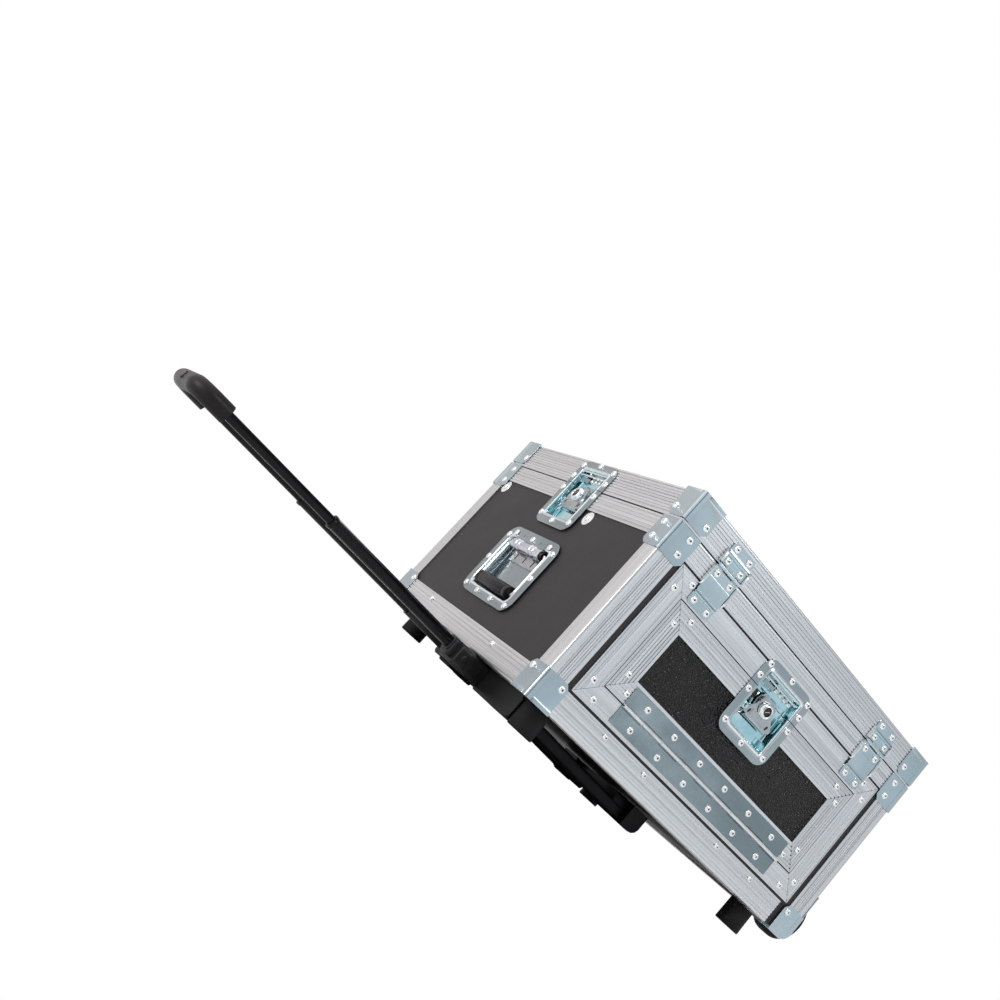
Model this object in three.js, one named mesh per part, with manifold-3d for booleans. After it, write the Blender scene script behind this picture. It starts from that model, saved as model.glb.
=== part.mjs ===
// A flight case for rack equipment: a laminated plywood body and a shallow lid
// held in riveted aluminium extrusions, with a small access door, recessed
// butterfly latches, sprung side handles, two edge wheels and a trolley handle.
// Millimetres, +Z up. Inside `rackCase` the frame is: X from the handle end to
// the wheel end, Y from the door face to the back, Z from the underside up.
import * as THREE from 'three';
import { mergeVertices } from 'three/addons/utils/BufferGeometryUtils.js';
import Module from 'manifold-3d';

const wasm = await Module();
wasm.setup();

// ---------------------------------------------------------------- dimensions
const LENGTH = 550;
const DEPTH = 500;
const HEIGHT = 310;
const SPLIT_Z = 267; // joint between body and lid
const SPLIT_GAP = 0.5;
const GAP = 0.3; // play between pieces that touch
const SKIN = 1.8; // extrusion wall
const PLY = 9; // plywood wall
const PLY_FACE = SKIN + GAP; // depth of the plywood face behind the extrusions
const PLY_BACK = PLY_FACE + PLY;
const STEEL = 1.5; // pressed steel hardware

const SIDE_LEG = 30; // extrusion width on the end faces
const FRONT_LEG = 32; // extrusion width on the door and back faces
const BOTTOM_LEG = 35;
const TOP_RAIL = 29.5;
const TOP_RAIL_Z = SPLIT_Z - SPLIT_GAP - TOP_RAIL;

const DOOR = { x0: 70.6, x1: LENGTH - 70.6, z0: 69.4, z1: 203.6, rim: 30.3 };
const DOOR_PLAY = 0.8;
const SURROUND = { x0: 40.5, x1: LENGTH - 40.5, z0: 38.5, z1: 234.3 };
const PIANO = { x0: 106, x1: LENGTH - 106, leaf: 26, thick: 1.2, y: -3, z: 69, r: 2.6, knuckles: 9 };

const LID_HINGE = { inset: 96, half: 21, y: -4.2, z: SPLIT_Z - 0.2, r: 3.4, side: 12, low: 208, high: 301 };
const STAY_ARM = { low: 241, out: 8.5, inside: 0.5, beyond: 3 }; // on the lid hinge's body leaf
const LEAF_RIDGE = { low: 222, high: 227 };
const BRACKET = { reach: 39, clip: 10, out: STEEL + GAP, lowerTop: 40, upperLow: 223, lidStep: 3 };
const RIVET = { r: 4.5, proud: 1.8, crown: 0.55 };

const RECESS = { play: 1.6, behind: 6 }; // room round a sunk dish in the wall it sits in
const DISH_WALL = 1.2;
const LATCH = { half: 51, up: 40, down: 72, corner: 16, pan: 36, panUp: 26, panDown: 57, depth: 12 };
const CATCH_BAR = { half: 21, low: 13, high: 22, out: -6 };
const BOSS = { v: -14, r: 9.5, rim: 1, dome: 5 };
const CAM = { low: -9, high: -6.5 };
const WING_AXIS = { v: -2, w: -3.2, r: 1.7, half: 14, leaf: 0.9 };
const HANDLE = { z: 118, halfW: 79, halfH: 58, corner: 20, panW: 62, panUp: 41, panDown: 43, depth: 14 };
const HANDLE_ROD = { u: 57, top: 34, bottom: -31, w: -2, r: 3, gripR: 10, gripHalf: 50 };
const HANDLE_COVER = { half: 44, wall: 3, play: 0.6 };

const FOOT = { handleEnd: 42, wheelEnd: 478, frontY: 27, rearY: 430, r: 18, height: 36 };
const WHEEL = { x: 538, z: 29.5, r: 38, y0: 14.5, width: 26, axleR: 4 };
const WHEEL_WELL = { r: 41, y0: 12.9, y1: 42.1, wall: 1.4 };

const RACK_RAIL = { top: 250, drop: 28, ledge: 50, thick: 2, endGap: 22 };

const TROLLEY = { y: DEPTH / 2, z: -11.8, half: 80, tilt: 0.034 };
const CLAMP = { half: 22, top: -GAP - 0.2, bridge: -11 }; // mouldings that hold the outer tubes
const FRONT_CLAMPS = { near: [-22, 76], far: [48, 122], low: -30, bridge: [48, 70] };
const END_CLAMPS = { near: [335, 366], far: [325, 366], low: -33, bridge: [338, 362], heel: 309 };
const CLAMP_WING = { x0: 28, x1: 72, y0: 47, low: -34 }; // from the near clamp towards the front foot
const OUTER_TUBE = { x0: -32, x1: 345, side: 19, bore: 8.4, boreEnd: 330 };
const MID_TUBE = { x0: -247, x1: 8, r: 8, bore: 6.4 };
const TOP_TUBE = { x0: -454, x1: -205, r: 6, bend: 22 };
const COLLAR = { length: 6, out: 0.8 };
const SLEEVE = { x1: -412, r: 12 };
const BUTTON = { half: 15.5, high: 5.5, out: 1.5, play: 0.5, travel: 2.5 };

// ------------------------------------------------------------------ materials
const finishes = {
  aluminium: { color: 0xc9ccd0, metalness: 0.9, roughness: 0.42 },
  zinc: { color: 0xaec4cc, metalness: 0.95, roughness: 0.28 },
  laminate: { color: 0x2d2a2e, metalness: 0.0, roughness: 0.55 },
  pebble: { color: 0x141414, metalness: 0.0, roughness: 0.5 },
  rubber: { color: 0x17181a, metalness: 0.0, roughness: 0.75 },
  plastic: { color: 0x1d1e20, metalness: 0.0, roughness: 0.5 },
  gloss: { color: 0x0b0b0d, metalness: 0.3, roughness: 0.12 },
};

// -------------------------------------------------------------- solid helpers
function toSolid(geometry) {
  const bare = geometry.index ? geometry.toNonIndexed() : geometry.clone();
  bare.deleteAttribute('normal');
  bare.deleteAttribute('uv');
  const merged = mergeVertices(bare, 1e-4);
  return new wasm.Manifold(new wasm.Mesh({
    numProp: 3,
    vertProperties: new Float32Array(merged.attributes.position.array),
    triVerts: new Uint32Array(merged.index.array),
  }));
}

function toGeometry(solid) {
  const mesh = solid.getMesh();
  const geometry = new THREE.BufferGeometry();
  geometry.setAttribute('position', new THREE.BufferAttribute(mesh.vertProperties, 3));
  geometry.setIndex(new THREE.BufferAttribute(mesh.triVerts, 1));
  geometry.computeVertexNormals();
  return geometry;
}

const join = (...solids) => solids.reduce((sum, solid) => sum.add(solid));
const cut = (solid, ...tools) => tools.reduce((rest, tool) => rest.subtract(tool), solid);

function box(x0, x1, y0, y1, z0, z1) {
  const geometry = new THREE.BoxGeometry(x1 - x0, y1 - y0, z1 - z0);
  geometry.translate((x0 + x1) / 2, (y0 + y1) / 2, (z0 + z1) / 2);
  return toSolid(geometry);
}

// A cylinder along `axis`, from a to b, centred on the other two coordinates.
function rod(axis, a, b, centre, radius, sides = 20) {
  const geometry = new THREE.CylinderGeometry(radius, radius, b - a, sides);
  const middle = (a + b) / 2;
  if (axis === 'x') geometry.rotateZ(-Math.PI / 2).translate(middle, centre[0], centre[1]);
  if (axis === 'y') geometry.translate(centre[0], middle, centre[1]);
  if (axis === 'z') geometry.rotateX(Math.PI / 2).translate(centre[0], centre[1], middle);
  return toSolid(geometry);
}

// A flat plate from a closed outline in the XY plane, between two heights.
function plate(shape, z0, z1, curveSegments = 4) {
  const options = { depth: z1 - z0, bevelEnabled: false, curveSegments };
  const geometry = new THREE.ExtrudeGeometry(shape, options);
  geometry.translate(0, 0, z0);
  return toSolid(geometry);
}

function polygon(points) {
  return new THREE.Shape(points.map(([x, y]) => new THREE.Vector2(x, y)));
}

// A rectangle whose lower and upper corners may each be rounded.
function panelShape(x0, x1, y0, y1, lower, upper) {
  const shape = new THREE.Shape();
  shape.moveTo(x0 + lower, y0);
  shape.lineTo(x1 - lower, y0);
  if (lower) shape.absarc(x1 - lower, y0 + lower, lower, -Math.PI / 2, 0);
  shape.lineTo(x1, y1 - upper);
  if (upper) shape.absarc(x1 - upper, y1 - upper, upper, 0, Math.PI / 2);
  shape.lineTo(x0 + upper, y1);
  if (upper) shape.absarc(x0 + upper, y1 - upper, upper, Math.PI / 2, Math.PI);
  shape.lineTo(x0, y0 + lower);
  if (lower) shape.absarc(x0 + lower, y0 + lower, lower, Math.PI, 1.5 * Math.PI);
  return shape;
}

const move = (solid, x, y, z) => solid.translate([x, y, z]);
const turned = (solid, x, y, z) => solid.rotate([x, y, z]);
const mirrored = (solid, normal) => solid.mirror(normal);

const rackCase = new THREE.Group();

function add(name, solid, finish, parent = rackCase) {
  const material = new THREE.MeshStandardMaterial({ name: finish, ...finishes[finish] });
  const mesh = new THREE.Mesh(toGeometry(solid), material);
  mesh.name = name;
  parent.add(mesh);
  return mesh;
}

// Hardware is drawn lying in XY with its outside facing +Z, then stood up on a
// face: 'door' faces -Y, 'left' faces -X and 'right' faces +X.
function onFace(solid, face, along, z) {
  const upright = turned(solid, 90, 0, 0);
  if (face === 'door') return move(upright, along, 0, z);
  if (face === 'left') return move(turned(upright, 0, 0, -90), 0, along, z);
  return move(turned(upright, 0, 0, 90), LENGTH, along, z);
}

// The sides of the case: 'front' is the door face, 'rear' the back face.
const ENDS = ['left', 'right'];
const CORNERS = ENDS.flatMap((end) => ['front', 'rear'].map((side) => [end, side]));

// Copies a piece drawn at the left front corner to another corner.
function toCorner(solid, end, side) {
  let placed = solid;
  if (end === 'right') placed = move(mirrored(placed, [1, 0, 0]), LENGTH, 0, 0);
  if (side === 'rear') placed = move(mirrored(placed, [0, 1, 0]), 0, DEPTH, 0);
  return placed;
}

// --------------------------------------------------------- recess clearances
function recess(half, down, up, depth) {
  const { play, behind } = RECESS;
  return box(-half - play, half + play, -down - play, up + play, -depth - behind, behind);
}

const latchPocket = recess(LATCH.pan, LATCH.panDown, LATCH.panUp, LATCH.depth);
const handlePocket = recess(HANDLE.panW, HANDLE.panDown, HANDLE.panUp, HANDLE.depth);
const endPockets = ENDS.flatMap((end) => [
  onFace(latchPocket, end, DEPTH / 2, SPLIT_Z),
  onFace(handlePocket, end, DEPTH / 2, HANDLE.z),
]);
const doorLatchPocket = onFace(latchPocket, 'door', LENGTH / 2, DOOR.z1 + DOOR_PLAY / 2);
const wellCutter = rod('y', WHEEL_WELL.y0 - WHEEL_WELL.wall - GAP, WHEEL_WELL.y1 + WHEEL_WELL.wall + GAP,
  [WHEEL.x, WHEEL.z], WHEEL_WELL.r + WHEEL_WELL.wall + GAP, 32);
const wellCutters = ['front', 'rear'].map((side) => toCorner(wellCutter, 'left', side));

// ------------------------------------------------------------ plywood panels
function buildPanels() {
  const top = SPLIT_Z - SPLIT_GAP - SKIN - GAP;
  const wallZ = PLY_BACK + GAP;
  const inner = PLY_BACK + GAP;
  const floor = box(PLY_FACE, LENGTH - PLY_FACE, PLY_FACE, DEPTH - PLY_FACE, PLY_FACE, PLY_BACK);
  add('floor_panel', cut(floor, ...wellCutters), 'laminate');

  const end = box(PLY_FACE, PLY_BACK, PLY_FACE, DEPTH - PLY_FACE, wallZ, top);
  add('left_panel', cut(end, ...endPockets), 'laminate');
  const rightEnd = toCorner(end, 'right', 'front');
  add('right_panel', cut(rightEnd, ...endPockets, ...wellCutters), 'laminate');

  const wall = box(inner, LENGTH - inner, PLY_FACE, PLY_BACK, wallZ, top);
  add('back_panel', toCorner(wall, 'left', 'rear'), 'laminate');
  const opening = box(DOOR.x0 - DOOR_PLAY, DOOR.x1 + DOOR_PLAY, 0, PLY_BACK + 1,
    DOOR.z0 - DOOR_PLAY, DOOR.z1 + DOOR_PLAY + GAP);
  add('door_wall_panel', cut(wall, opening, doorLatchPocket), 'laminate');
}

// --------------------------------------------------------- body extrusions
// The riveted frame of the body: four uprights with the lower and upper edges.
// The wheel wells part the lower edge at the wheel end from it, as its own piece.
function buildBodyFrame() {
  const top = SPLIT_Z - SPLIT_GAP;
  const shell = cut(
    box(0, LENGTH, 0, DEPTH, 0, top),
    box(SKIN, LENGTH - SKIN, SKIN, DEPTH - SKIN, SKIN, top - SKIN),
  );
  const endWindow = box(-1, LENGTH + 1, SIDE_LEG, DEPTH - SIDE_LEG, FRONT_LEG, TOP_RAIL_Z);
  const frontWindow = box(FRONT_LEG, LENGTH - FRONT_LEG, -1, DEPTH + 1, BOTTOM_LEG, TOP_RAIL_Z);
  const floorWindow = box(SIDE_LEG, LENGTH - SIDE_LEG, SIDE_LEG, DEPTH - SIDE_LEG, -1, SKIN + 1);
  const mouth = PLY_BACK + SKIN;
  const mouthWindow = box(mouth, LENGTH - mouth, mouth, DEPTH - mouth, top - SKIN - 1, top + 1);
  const frame = cut(shell, endWindow, frontWindow, floorWindow, mouthWindow, ...endPockets, ...wellCutters);
  const [first, second] = frame.decompose().sort((a, b) => b.volume() - a.volume());
  add('body_frame', first, 'aluminium');
  add('wheel_end_sill', second, 'aluminium');
}

// ---------------------------------------------------------------- the lid
function buildLid() {
  const bottom = SPLIT_Z + SPLIT_GAP / 2;
  const shell = cut(
    box(0, LENGTH, 0, DEPTH, bottom, HEIGHT),
    box(SKIN, LENGTH - SKIN, SKIN, DEPTH - SKIN, bottom - 1, HEIGHT - SKIN),
    box(SIDE_LEG, LENGTH - SIDE_LEG, SIDE_LEG, DEPTH - SIDE_LEG, bottom, HEIGHT + 1),
  );
  add('lid_frame', cut(shell, ...endPockets), 'aluminium');

  const face = PLY_FACE;
  const back = PLY_BACK;
  const tray = cut(
    box(face, LENGTH - face, face, DEPTH - face, bottom + GAP, HEIGHT - PLY_FACE),
    box(back, LENGTH - back, back, DEPTH - back, bottom - 1, HEIGHT - PLY_BACK),
    ...endPockets,
  );
  add('lid_panel', tray, 'laminate');
}

// --------------------------------------------------------- corner brackets
function bracketLeaf(reach, z0, z1, clipLow, clipHigh) {
  const { clip, out } = BRACKET;
  const outline = [[-out, z0], [reach - (clipLow ? clip : 0), z0]];
  if (clipLow) outline.push([reach, z0 + clip]);
  if (clipHigh) outline.push([reach, z1 - clip]);
  outline.push([reach - (clipHigh ? clip : 0), z1], [-out, z1]);
  return plate(polygon(outline), GAP, out);
}

// A domed rivet head, its axis along +Z, standing on the face of a bracket.
function rivetHead(x, y) {
  const { r, proud, crown } = RIVET;
  const foot = BRACKET.out - GAP;
  const profile = [[0, foot], [r, foot], [r, BRACKET.out + 0.3], [r * crown, BRACKET.out + proud]];
  profile.push([0, BRACKET.out + proud], [0, foot]);
  const lathe = new THREE.LatheGeometry(profile.map(([a, b]) => new THREE.Vector2(a, b)), 12);
  return move(turned(toSolid(lathe), 90, 0, 0), x, y, 0);
}

// Two or three leaves folded round a corner of the case, each leaf with the same rivets.
function cornerBracket(z0, z1, clipLow, clipHigh, rivets, capZ) {
  const { reach, out } = BRACKET;
  const heads = rivets.map(([x, z]) => rivetHead(x, z));
  const leaf = join(bracketLeaf(reach, z0, z1, clipLow, clipHigh), ...heads);
  const front = turned(leaf, 90, 0, 0);
  const sideLeaf = mirrored(turned(front, 0, 0, -90), [0, 1, 0]);
  let bracket = join(front, sideLeaf);
  if (capZ !== undefined) {
    bracket = join(bracket, box(-out, reach - 6, -out, reach - 6, capZ, capZ + STEEL));
  }
  return bracket;
}

function buildBrackets() {
  const { out, lowerTop, upperLow, lidStep } = BRACKET;
  const lower = cornerBracket(-out, lowerTop, false, true, [[30, 31]], -out);
  const upper = cornerBracket(upperLow, SPLIT_Z - SPLIT_GAP, true, false, [[25.5, 235], [25.5, 257]]);
  const lid = cornerBracket(SPLIT_Z + lidStep, HEIGHT + out, true, false, [[31, 282]], HEIGHT + GAP);
  for (const [end, side] of CORNERS) {
    const low = toCorner(lower, end, side);
    const corner = `${end}_${side}`;
    add(`lower_corner_${corner}`, end === 'right' ? wheelCorner(low, side) : low, 'zinc');
    add(`upper_corner_${corner}`, toCorner(upper, end, side), 'zinc');
    add(`lid_corner_${corner}`, toCorner(lid, end, side), 'zinc');
  }
}

// The corners at the wheel end carry the wheel well and its fixed axle.
function wheelCorner(bracket, side) {
  const { out } = BRACKET;
  const { r, y0, y1, wall } = WHEEL_WELL;
  const right = LENGTH + out;
  const well = rod('y', y0 - wall, y1 + wall, [WHEEL.x, WHEEL.z], r + wall, 32)
    .intersect(box(0, right, 0, DEPTH, -out, HEIGHT));
  const flanges = join(
    box(WHEEL.x - 34, right, GAP, y1 + wall + 4, -out, -GAP),
    box(LENGTH + GAP, right, GAP, y1 + wall + 4, -out, WHEEL.z + r + 4),
  );
  const hollow = rod('y', y0, y1, [WHEEL.x, WHEEL.z], r, 32);
  const axle = rod('y', y0 - wall, y1 + wall, [WHEEL.x, WHEEL.z], WHEEL.axleR, 12);
  const frontPiece = join(cut(join(well, flanges), hollow), axle);
  return join(cut(bracket, toCorner(hollow, 'left', side)), toCorner(frontPiece, 'left', side));
}

function buildWheels() {
  const half = WHEEL.width / 2;
  const profile = [
    [WHEEL.axleR + GAP, -half], [WHEEL.r - 4, -half], [WHEEL.r - 1.2, -half + 1.6], [WHEEL.r, -half + 5],
    [WHEEL.r, half - 5], [WHEEL.r - 1.2, half - 1.6], [WHEEL.r - 4, half], [WHEEL.axleR + GAP, half],
    [WHEEL.axleR + GAP, -half],
  ].map(([radius, y]) => new THREE.Vector2(radius, y));
  const wheel = toSolid(new THREE.LatheGeometry(profile, 32));
  for (const side of ['front', 'rear']) {
    const placed = move(wheel, WHEEL.x, WHEEL.y0 + half, WHEEL.z);
    add(`wheel_${side}`, toCorner(placed, 'left', side), 'rubber');
  }
}

// -------------------------------------------------- door, surround and hinge
function ringPlate(outer, inner, y0, y1) {
  return cut(
    box(outer.x0, outer.x1, y0, y1, outer.z0, outer.z1),
    box(inner.x0, inner.x1, y0 - 1, y1 + 1, inner.z0, inner.z1),
  );
}

function buildDoor() {
  const { x0, x1, z0, z1, rim } = DOOR;
  const opening = { x0: x0 - DOOR_PLAY, x1: x1 + DOOR_PLAY, z0: z0 - DOOR_PLAY, z1: z1 + DOOR_PLAY + GAP };
  const surround = ringPlate(SURROUND, opening, 0, SKIN);
  add('door_surround', cut(surround, doorLatchPocket), 'aluminium');

  const window = { x0: x0 + rim, x1: x1 - rim, z0: z0 + rim - 1.5, z1: z1 - rim };
  const edge = { x0: x0 + SKIN, x1: x1 - SKIN, z0: z0 + SKIN, z1: z1 - SKIN };
  const frame = join(ringPlate(DOOR, window, 0, SKIN), ringPlate(DOOR, edge, 0, PLY_BACK));
  add('door_frame', cut(frame, doorLatchPocket), 'aluminium');

  const slack = SKIN + GAP;
  const panel = box(x0 + slack, x1 - slack, PLY_FACE, PLY_BACK, z0 + slack, z1 - slack);
  add('door_panel', cut(panel, doorLatchPocket), 'pebble');
}

function buildPianoHinge() {
  const { x0, x1, leaf, thick, y, z, r, knuckles } = PIANO;
  const pitch = (x1 - x0) / knuckles;
  const leaves = {
    piano_hinge_wall_leaf: box(x0, x1, -GAP - thick, -GAP, z - leaf, z - r - GAP),
    piano_hinge_door_leaf: box(x0, x1, -GAP - thick, -GAP, z + r + GAP, z + leaf),
  };
  for (let i = 0; i < knuckles; i += 1) {
    const name = i % 2 ? 'piano_hinge_door_leaf' : 'piano_hinge_wall_leaf';
    const toward = i % 2 ? 1 : -1;
    const start = x0 + i * pitch + GAP / 2;
    const end = start + pitch - GAP;
    const knuckle = rod('x', start, end, [y, z], r, 12);
    const reach = [z, z + toward * (r + GAP + 1)].sort((a, b) => a - b);
    const web = box(start, end, -GAP - thick, -GAP, ...reach);
    leaves[name] = join(leaves[name], knuckle, web);
  }
  for (const [name, solid] of Object.entries(leaves)) add(name, solid, 'zinc');
}

// ----------------------------------------------------------- lid-stay hinges
// Drawn round x = 0. The body leaf steps over the gap above the door surround
// and has two raised stay arms; the lid leaf turns on the middle knuckle.
function bodyHingeLeaf() {
  const { half, y, z, r, side, low } = LID_HINGE;
  const face = -GAP - STEEL;
  const inner = half - side + GAP;
  const parts = [box(-half, half, face, -GAP, low, z - r - 2 * GAP)];
  for (const [from, to] of [[-half, -inner], [inner, half]]) {
    parts.push(rod('x', from, to, [y, z], r, 16));
    parts.push(box(from, to, face, -GAP, z - 2 * r, z));
  }
  const armIn = half - STAY_ARM.inside;
  const armOut = half + STAY_ARM.beyond;
  for (const [from, to] of [[-armOut, -armIn], [armIn, armOut]]) {
    parts.push(box(from, to, -STAY_ARM.out, -GAP, STAY_ARM.low, z - 2 * r));
  }
  parts.push(box(-half, half, y, face + GAP, LEAF_RIDGE.low, LEAF_RIDGE.high));
  return join(...parts);
}

function lidHingeLeaf() {
  const { half, y, z, r, side, high } = LID_HINGE;
  const face = -GAP - STEEL;
  const inner = half - side;
  return join(
    box(-half, half, face, -GAP, z + r + 2 * GAP, high),
    box(-inner, inner, face, -GAP, z, z + 2 * r),
    rod('x', -inner, inner, [y, z], r, 16),
  );
}

function buildLidHinges() {
  for (const end of ENDS) {
    const x = end === 'left' ? LID_HINGE.inset : LENGTH - LID_HINGE.inset;
    add(`lid_hinge_body_leaf_${end}`, move(bodyHingeLeaf(), x, 0, 0), 'zinc');
    add(`lid_hinge_lid_leaf_${end}`, move(lidHingeLeaf(), x, 0, 0), 'zinc');
  }
}

// ---------------------------------------------------------- butterfly latch
// Drawn lying in XY: v = 0 is the joint that the latch bridges.
function latchDish() {
  const { half, down, corner, pan, panDown, depth } = LATCH;
  const edge = -SPLIT_GAP;
  return cut(
    join(
      plate(panelShape(-half, half, -down, edge, corner, 0), GAP, GAP + STEEL),
      box(-pan - DISH_WALL, pan + DISH_WALL, -panDown - DISH_WALL, edge, -depth, GAP + 1),
    ),
    box(-pan, pan, -panDown, 1, -depth + DISH_WALL, 6),
  );
}

function latchKeeper() {
  const { half, up, corner, pan, panUp, depth } = LATCH;
  const edge = SPLIT_GAP;
  const hollow = box(-pan, pan, -1, panUp, -depth + DISH_WALL, 6);
  const dish = join(
    plate(panelShape(-half, half, edge, up, 0, corner), GAP, GAP + STEEL),
    box(-pan - DISH_WALL, pan + DISH_WALL, edge, panUp + DISH_WALL, -depth, GAP + 1),
  );
  const { low, high, out } = CATCH_BAR;
  const bar = box(-CATCH_BAR.half, CATCH_BAR.half, low, high, GAP - depth, out);
  return join(cut(dish, hollow), bar);
}

function latchRotor() {
  const floor = -LATCH.depth + DISH_WALL + GAP;
  const cam = [[-15, -6], [-9, -12], [9, -12], [15, -6], [13, 8], [8, 21], [-8, 21], [-13, 8]];
  return join(
    move(plate(polygon(cam), CAM.low, CAM.high), 0, BOSS.v, 0),
    rod('z', floor, BOSS.rim, [0, BOSS.v], BOSS.r, 20),
    rod('z', 0, BOSS.dome, [0, BOSS.v], BOSS.r / 2, 20),
  );
}

function latchWing() {
  const { v, w, r, half, leaf } = WING_AXIS;
  const rightEdge = [[14, 1], [15, -12], [28, -25], [28, -28], [25, -31]];
  const leftEdge = rightEdge.map(([x, y]) => [-x, y]).reverse();
  const outline = [...rightEdge, ...leftEdge];
  const flat = move(plate(polygon(outline), -leaf, leaf), 0, v, w);
  const roll = rod('x', -half, half, [v, w], r, 10);
  return cut(join(flat, roll), rod('z', -half, 6, [0, BOSS.v], BOSS.r + 1.3, 20));
}

function buildLatches() {
  const places = [
    ['left', 'left', DEPTH / 2, SPLIT_Z],
    ['right', 'right', DEPTH / 2, SPLIT_Z],
    ['door', 'door', LENGTH / 2, DOOR.z1 + DOOR_PLAY / 2],
  ];
  for (const [name, face, along, z] of places) {
    add(`latch_dish_${name}`, onFace(latchDish(), face, along, z), 'zinc');
    add(`latch_keeper_${name}`, onFace(latchKeeper(), face, along, z), 'zinc');
    add(`latch_rotor_${name}`, onFace(latchRotor(), face, along, z), 'zinc');
    add(`latch_wing_${name}`, onFace(latchWing(), face, along, z), 'zinc');
  }
}

// ------------------------------------------------------ sprung side handles
function handleDish() {
  const { halfW, halfH, corner, panW, panUp, panDown, depth } = HANDLE;
  const { top, w, r } = HANDLE_ROD;
  const { half, wall, play } = HANDLE_COVER;
  const sideWall = panW + DISH_WALL;
  const dish = cut(
    join(
      plate(panelShape(-halfW, halfW, -halfH, halfH, corner, corner), GAP, GAP + STEEL),
      box(-sideWall, sideWall, -panDown - DISH_WALL, panUp + DISH_WALL, -depth, GAP + 1),
    ),
    box(-panW, panW, -panDown, panUp, -depth + DISH_WALL, 6),
  );
  const roll = join(
    rod('x', -half, half, [top, w], r + wall, 20),
    box(-half, half, top, panUp + 5, GAP + 1, w + r + wall),
  );
  return join(dish, cut(roll, rod('x', -half - 1, half + 1, [top, w], r + play, 16)));
}

function handleGrip() {
  const { u, top, bottom, w, r, gripR, gripHalf } = HANDLE_ROD;
  return join(
    rod('x', -u - r, u + r, [top, w], r, 12),
    rod('x', -u - r, u + r, [bottom, w], r, 12),
    rod('y', bottom, top, [-u, w], r, 12),
    rod('y', bottom, top, [u, w], r, 12),
    rod('x', -gripHalf, gripHalf, [bottom, w], gripR, 20),
  );
}

function buildHandles() {
  for (const end of ENDS) {
    add(`handle_dish_${end}`, onFace(handleDish(), end, DEPTH / 2, HANDLE.z), 'zinc');
    add(`handle_grip_${end}`, onFace(handleGrip(), end, DEPTH / 2, HANDLE.z), 'rubber');
  }
}

// -------------------------------------------------------- feet and rack rails
function buildFeet() {
  const top = -STEEL - 2 * GAP;
  for (const [end, side] of CORNERS) {
    const x = end === 'left' ? FOOT.handleEnd : FOOT.wheelEnd;
    const y = side === 'front' ? FOOT.frontY : FOOT.rearY;
    add(`foot_${end}_${side}`, rod('z', -FOOT.height, top, [x, y], FOOT.r, 24), 'rubber');
  }
}

// Angles on the end walls that take the ears of a 19-inch panel laid in from the top.
function buildRackRails() {
  const { top, drop, ledge, thick, endGap } = RACK_RAIL;
  const wall = PLY_BACK + GAP;
  const latchRoom = LATCH.pan + 4;
  const rail = cut(
    join(
      box(wall, wall + thick, endGap, DEPTH - endGap, top - drop, top),
      box(wall, ledge, endGap, DEPTH - endGap, top - thick, top),
    ),
    box(wall - 1, LATCH.depth + 2, DEPTH / 2 - latchRoom, DEPTH / 2 + latchRoom, 0, HEIGHT),
  );
  for (const end of ENDS) add(`rack_rail_${end}`, toCorner(rail, end, 'front'), 'zinc');
}

// ------------------------------------------------------------ trolley handle
// The tubes slope: they sit deeper below the case towards the wheel end.
const slope = (solid) => move(turned(solid, 0, THREE.MathUtils.radToDeg(TROLLEY.tilt), 0),
  0, TROLLEY.y, TROLLEY.z);
const bothTubes = (solid) => [-1, 1].map((side) => move(solid, 0, side * TROLLEY.half, 0));

function roundedBar(x0, x1, side, corner) {
  const half = side / 2;
  const bar = plate(panelShape(-half, half, -half, half, corner, corner), x0, x1, 3);
  return turned(bar, 0, 90, 0);
}

function trolleyClamps({ near, far, low, bridge }) {
  const { y, half } = TROLLEY;
  const grips = [near, far].map(([x0, x1], i) => {
    const middle = y + (2 * i - 1) * half;
    return box(x0, x1, middle - CLAMP.half, middle + CLAMP.half, low, CLAMP.top);
  });
  return join(...grips, box(...bridge, y - half, y + half, CLAMP.bridge, CLAMP.top));
}

// The outer tubes with the mouldings that hold them under the case.
function buildTrolleyBase() {
  const { x0, x1, side, bore, boreEnd } = OUTER_TUBE;
  const tubes = bothTubes(roundedBar(x0, x1, side, 4)).map(slope);
  const bores = bothTubes(rod('x', x0 - 1, boreEnd, [0, 0], bore, 20)).map(slope);
  const clamps = [FRONT_CLAMPS, END_CLAMPS].map(trolleyClamps);
  const nearY = TROLLEY.y - TROLLEY.half;
  const wing = box(CLAMP_WING.x0, CLAMP_WING.x1, CLAMP_WING.y0, nearY, CLAMP_WING.low, CLAMP.top);
  const heel = box(END_CLAMPS.heel, END_CLAMPS.near[1], nearY - side / 2 + 1, nearY + CLAMP.half,
    END_CLAMPS.low, CLAMP.top);
  add('trolley_base', cut(join(...clamps, wing, heel, ...tubes), ...bores), 'plastic');
}

function buildTrolleyStages() {
  const { x0, x1, r, bore } = MID_TUBE;
  const collar = rod('x', x0, x0 + COLLAR.length, [0, 0], r + COLLAR.out, 20);
  const tube = join(rod('x', x0, x1, [0, 0], r, 20), collar);
  const mid = cut(tube, rod('x', x0 - 1, x1 + 1, [0, 0], bore, 20));
  for (const [i, solid] of bothTubes(mid).entries()) {
    add(`trolley_mid_tube_${['front', 'rear'][i]}`, slope(solid), 'gloss');
  }
}

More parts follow.
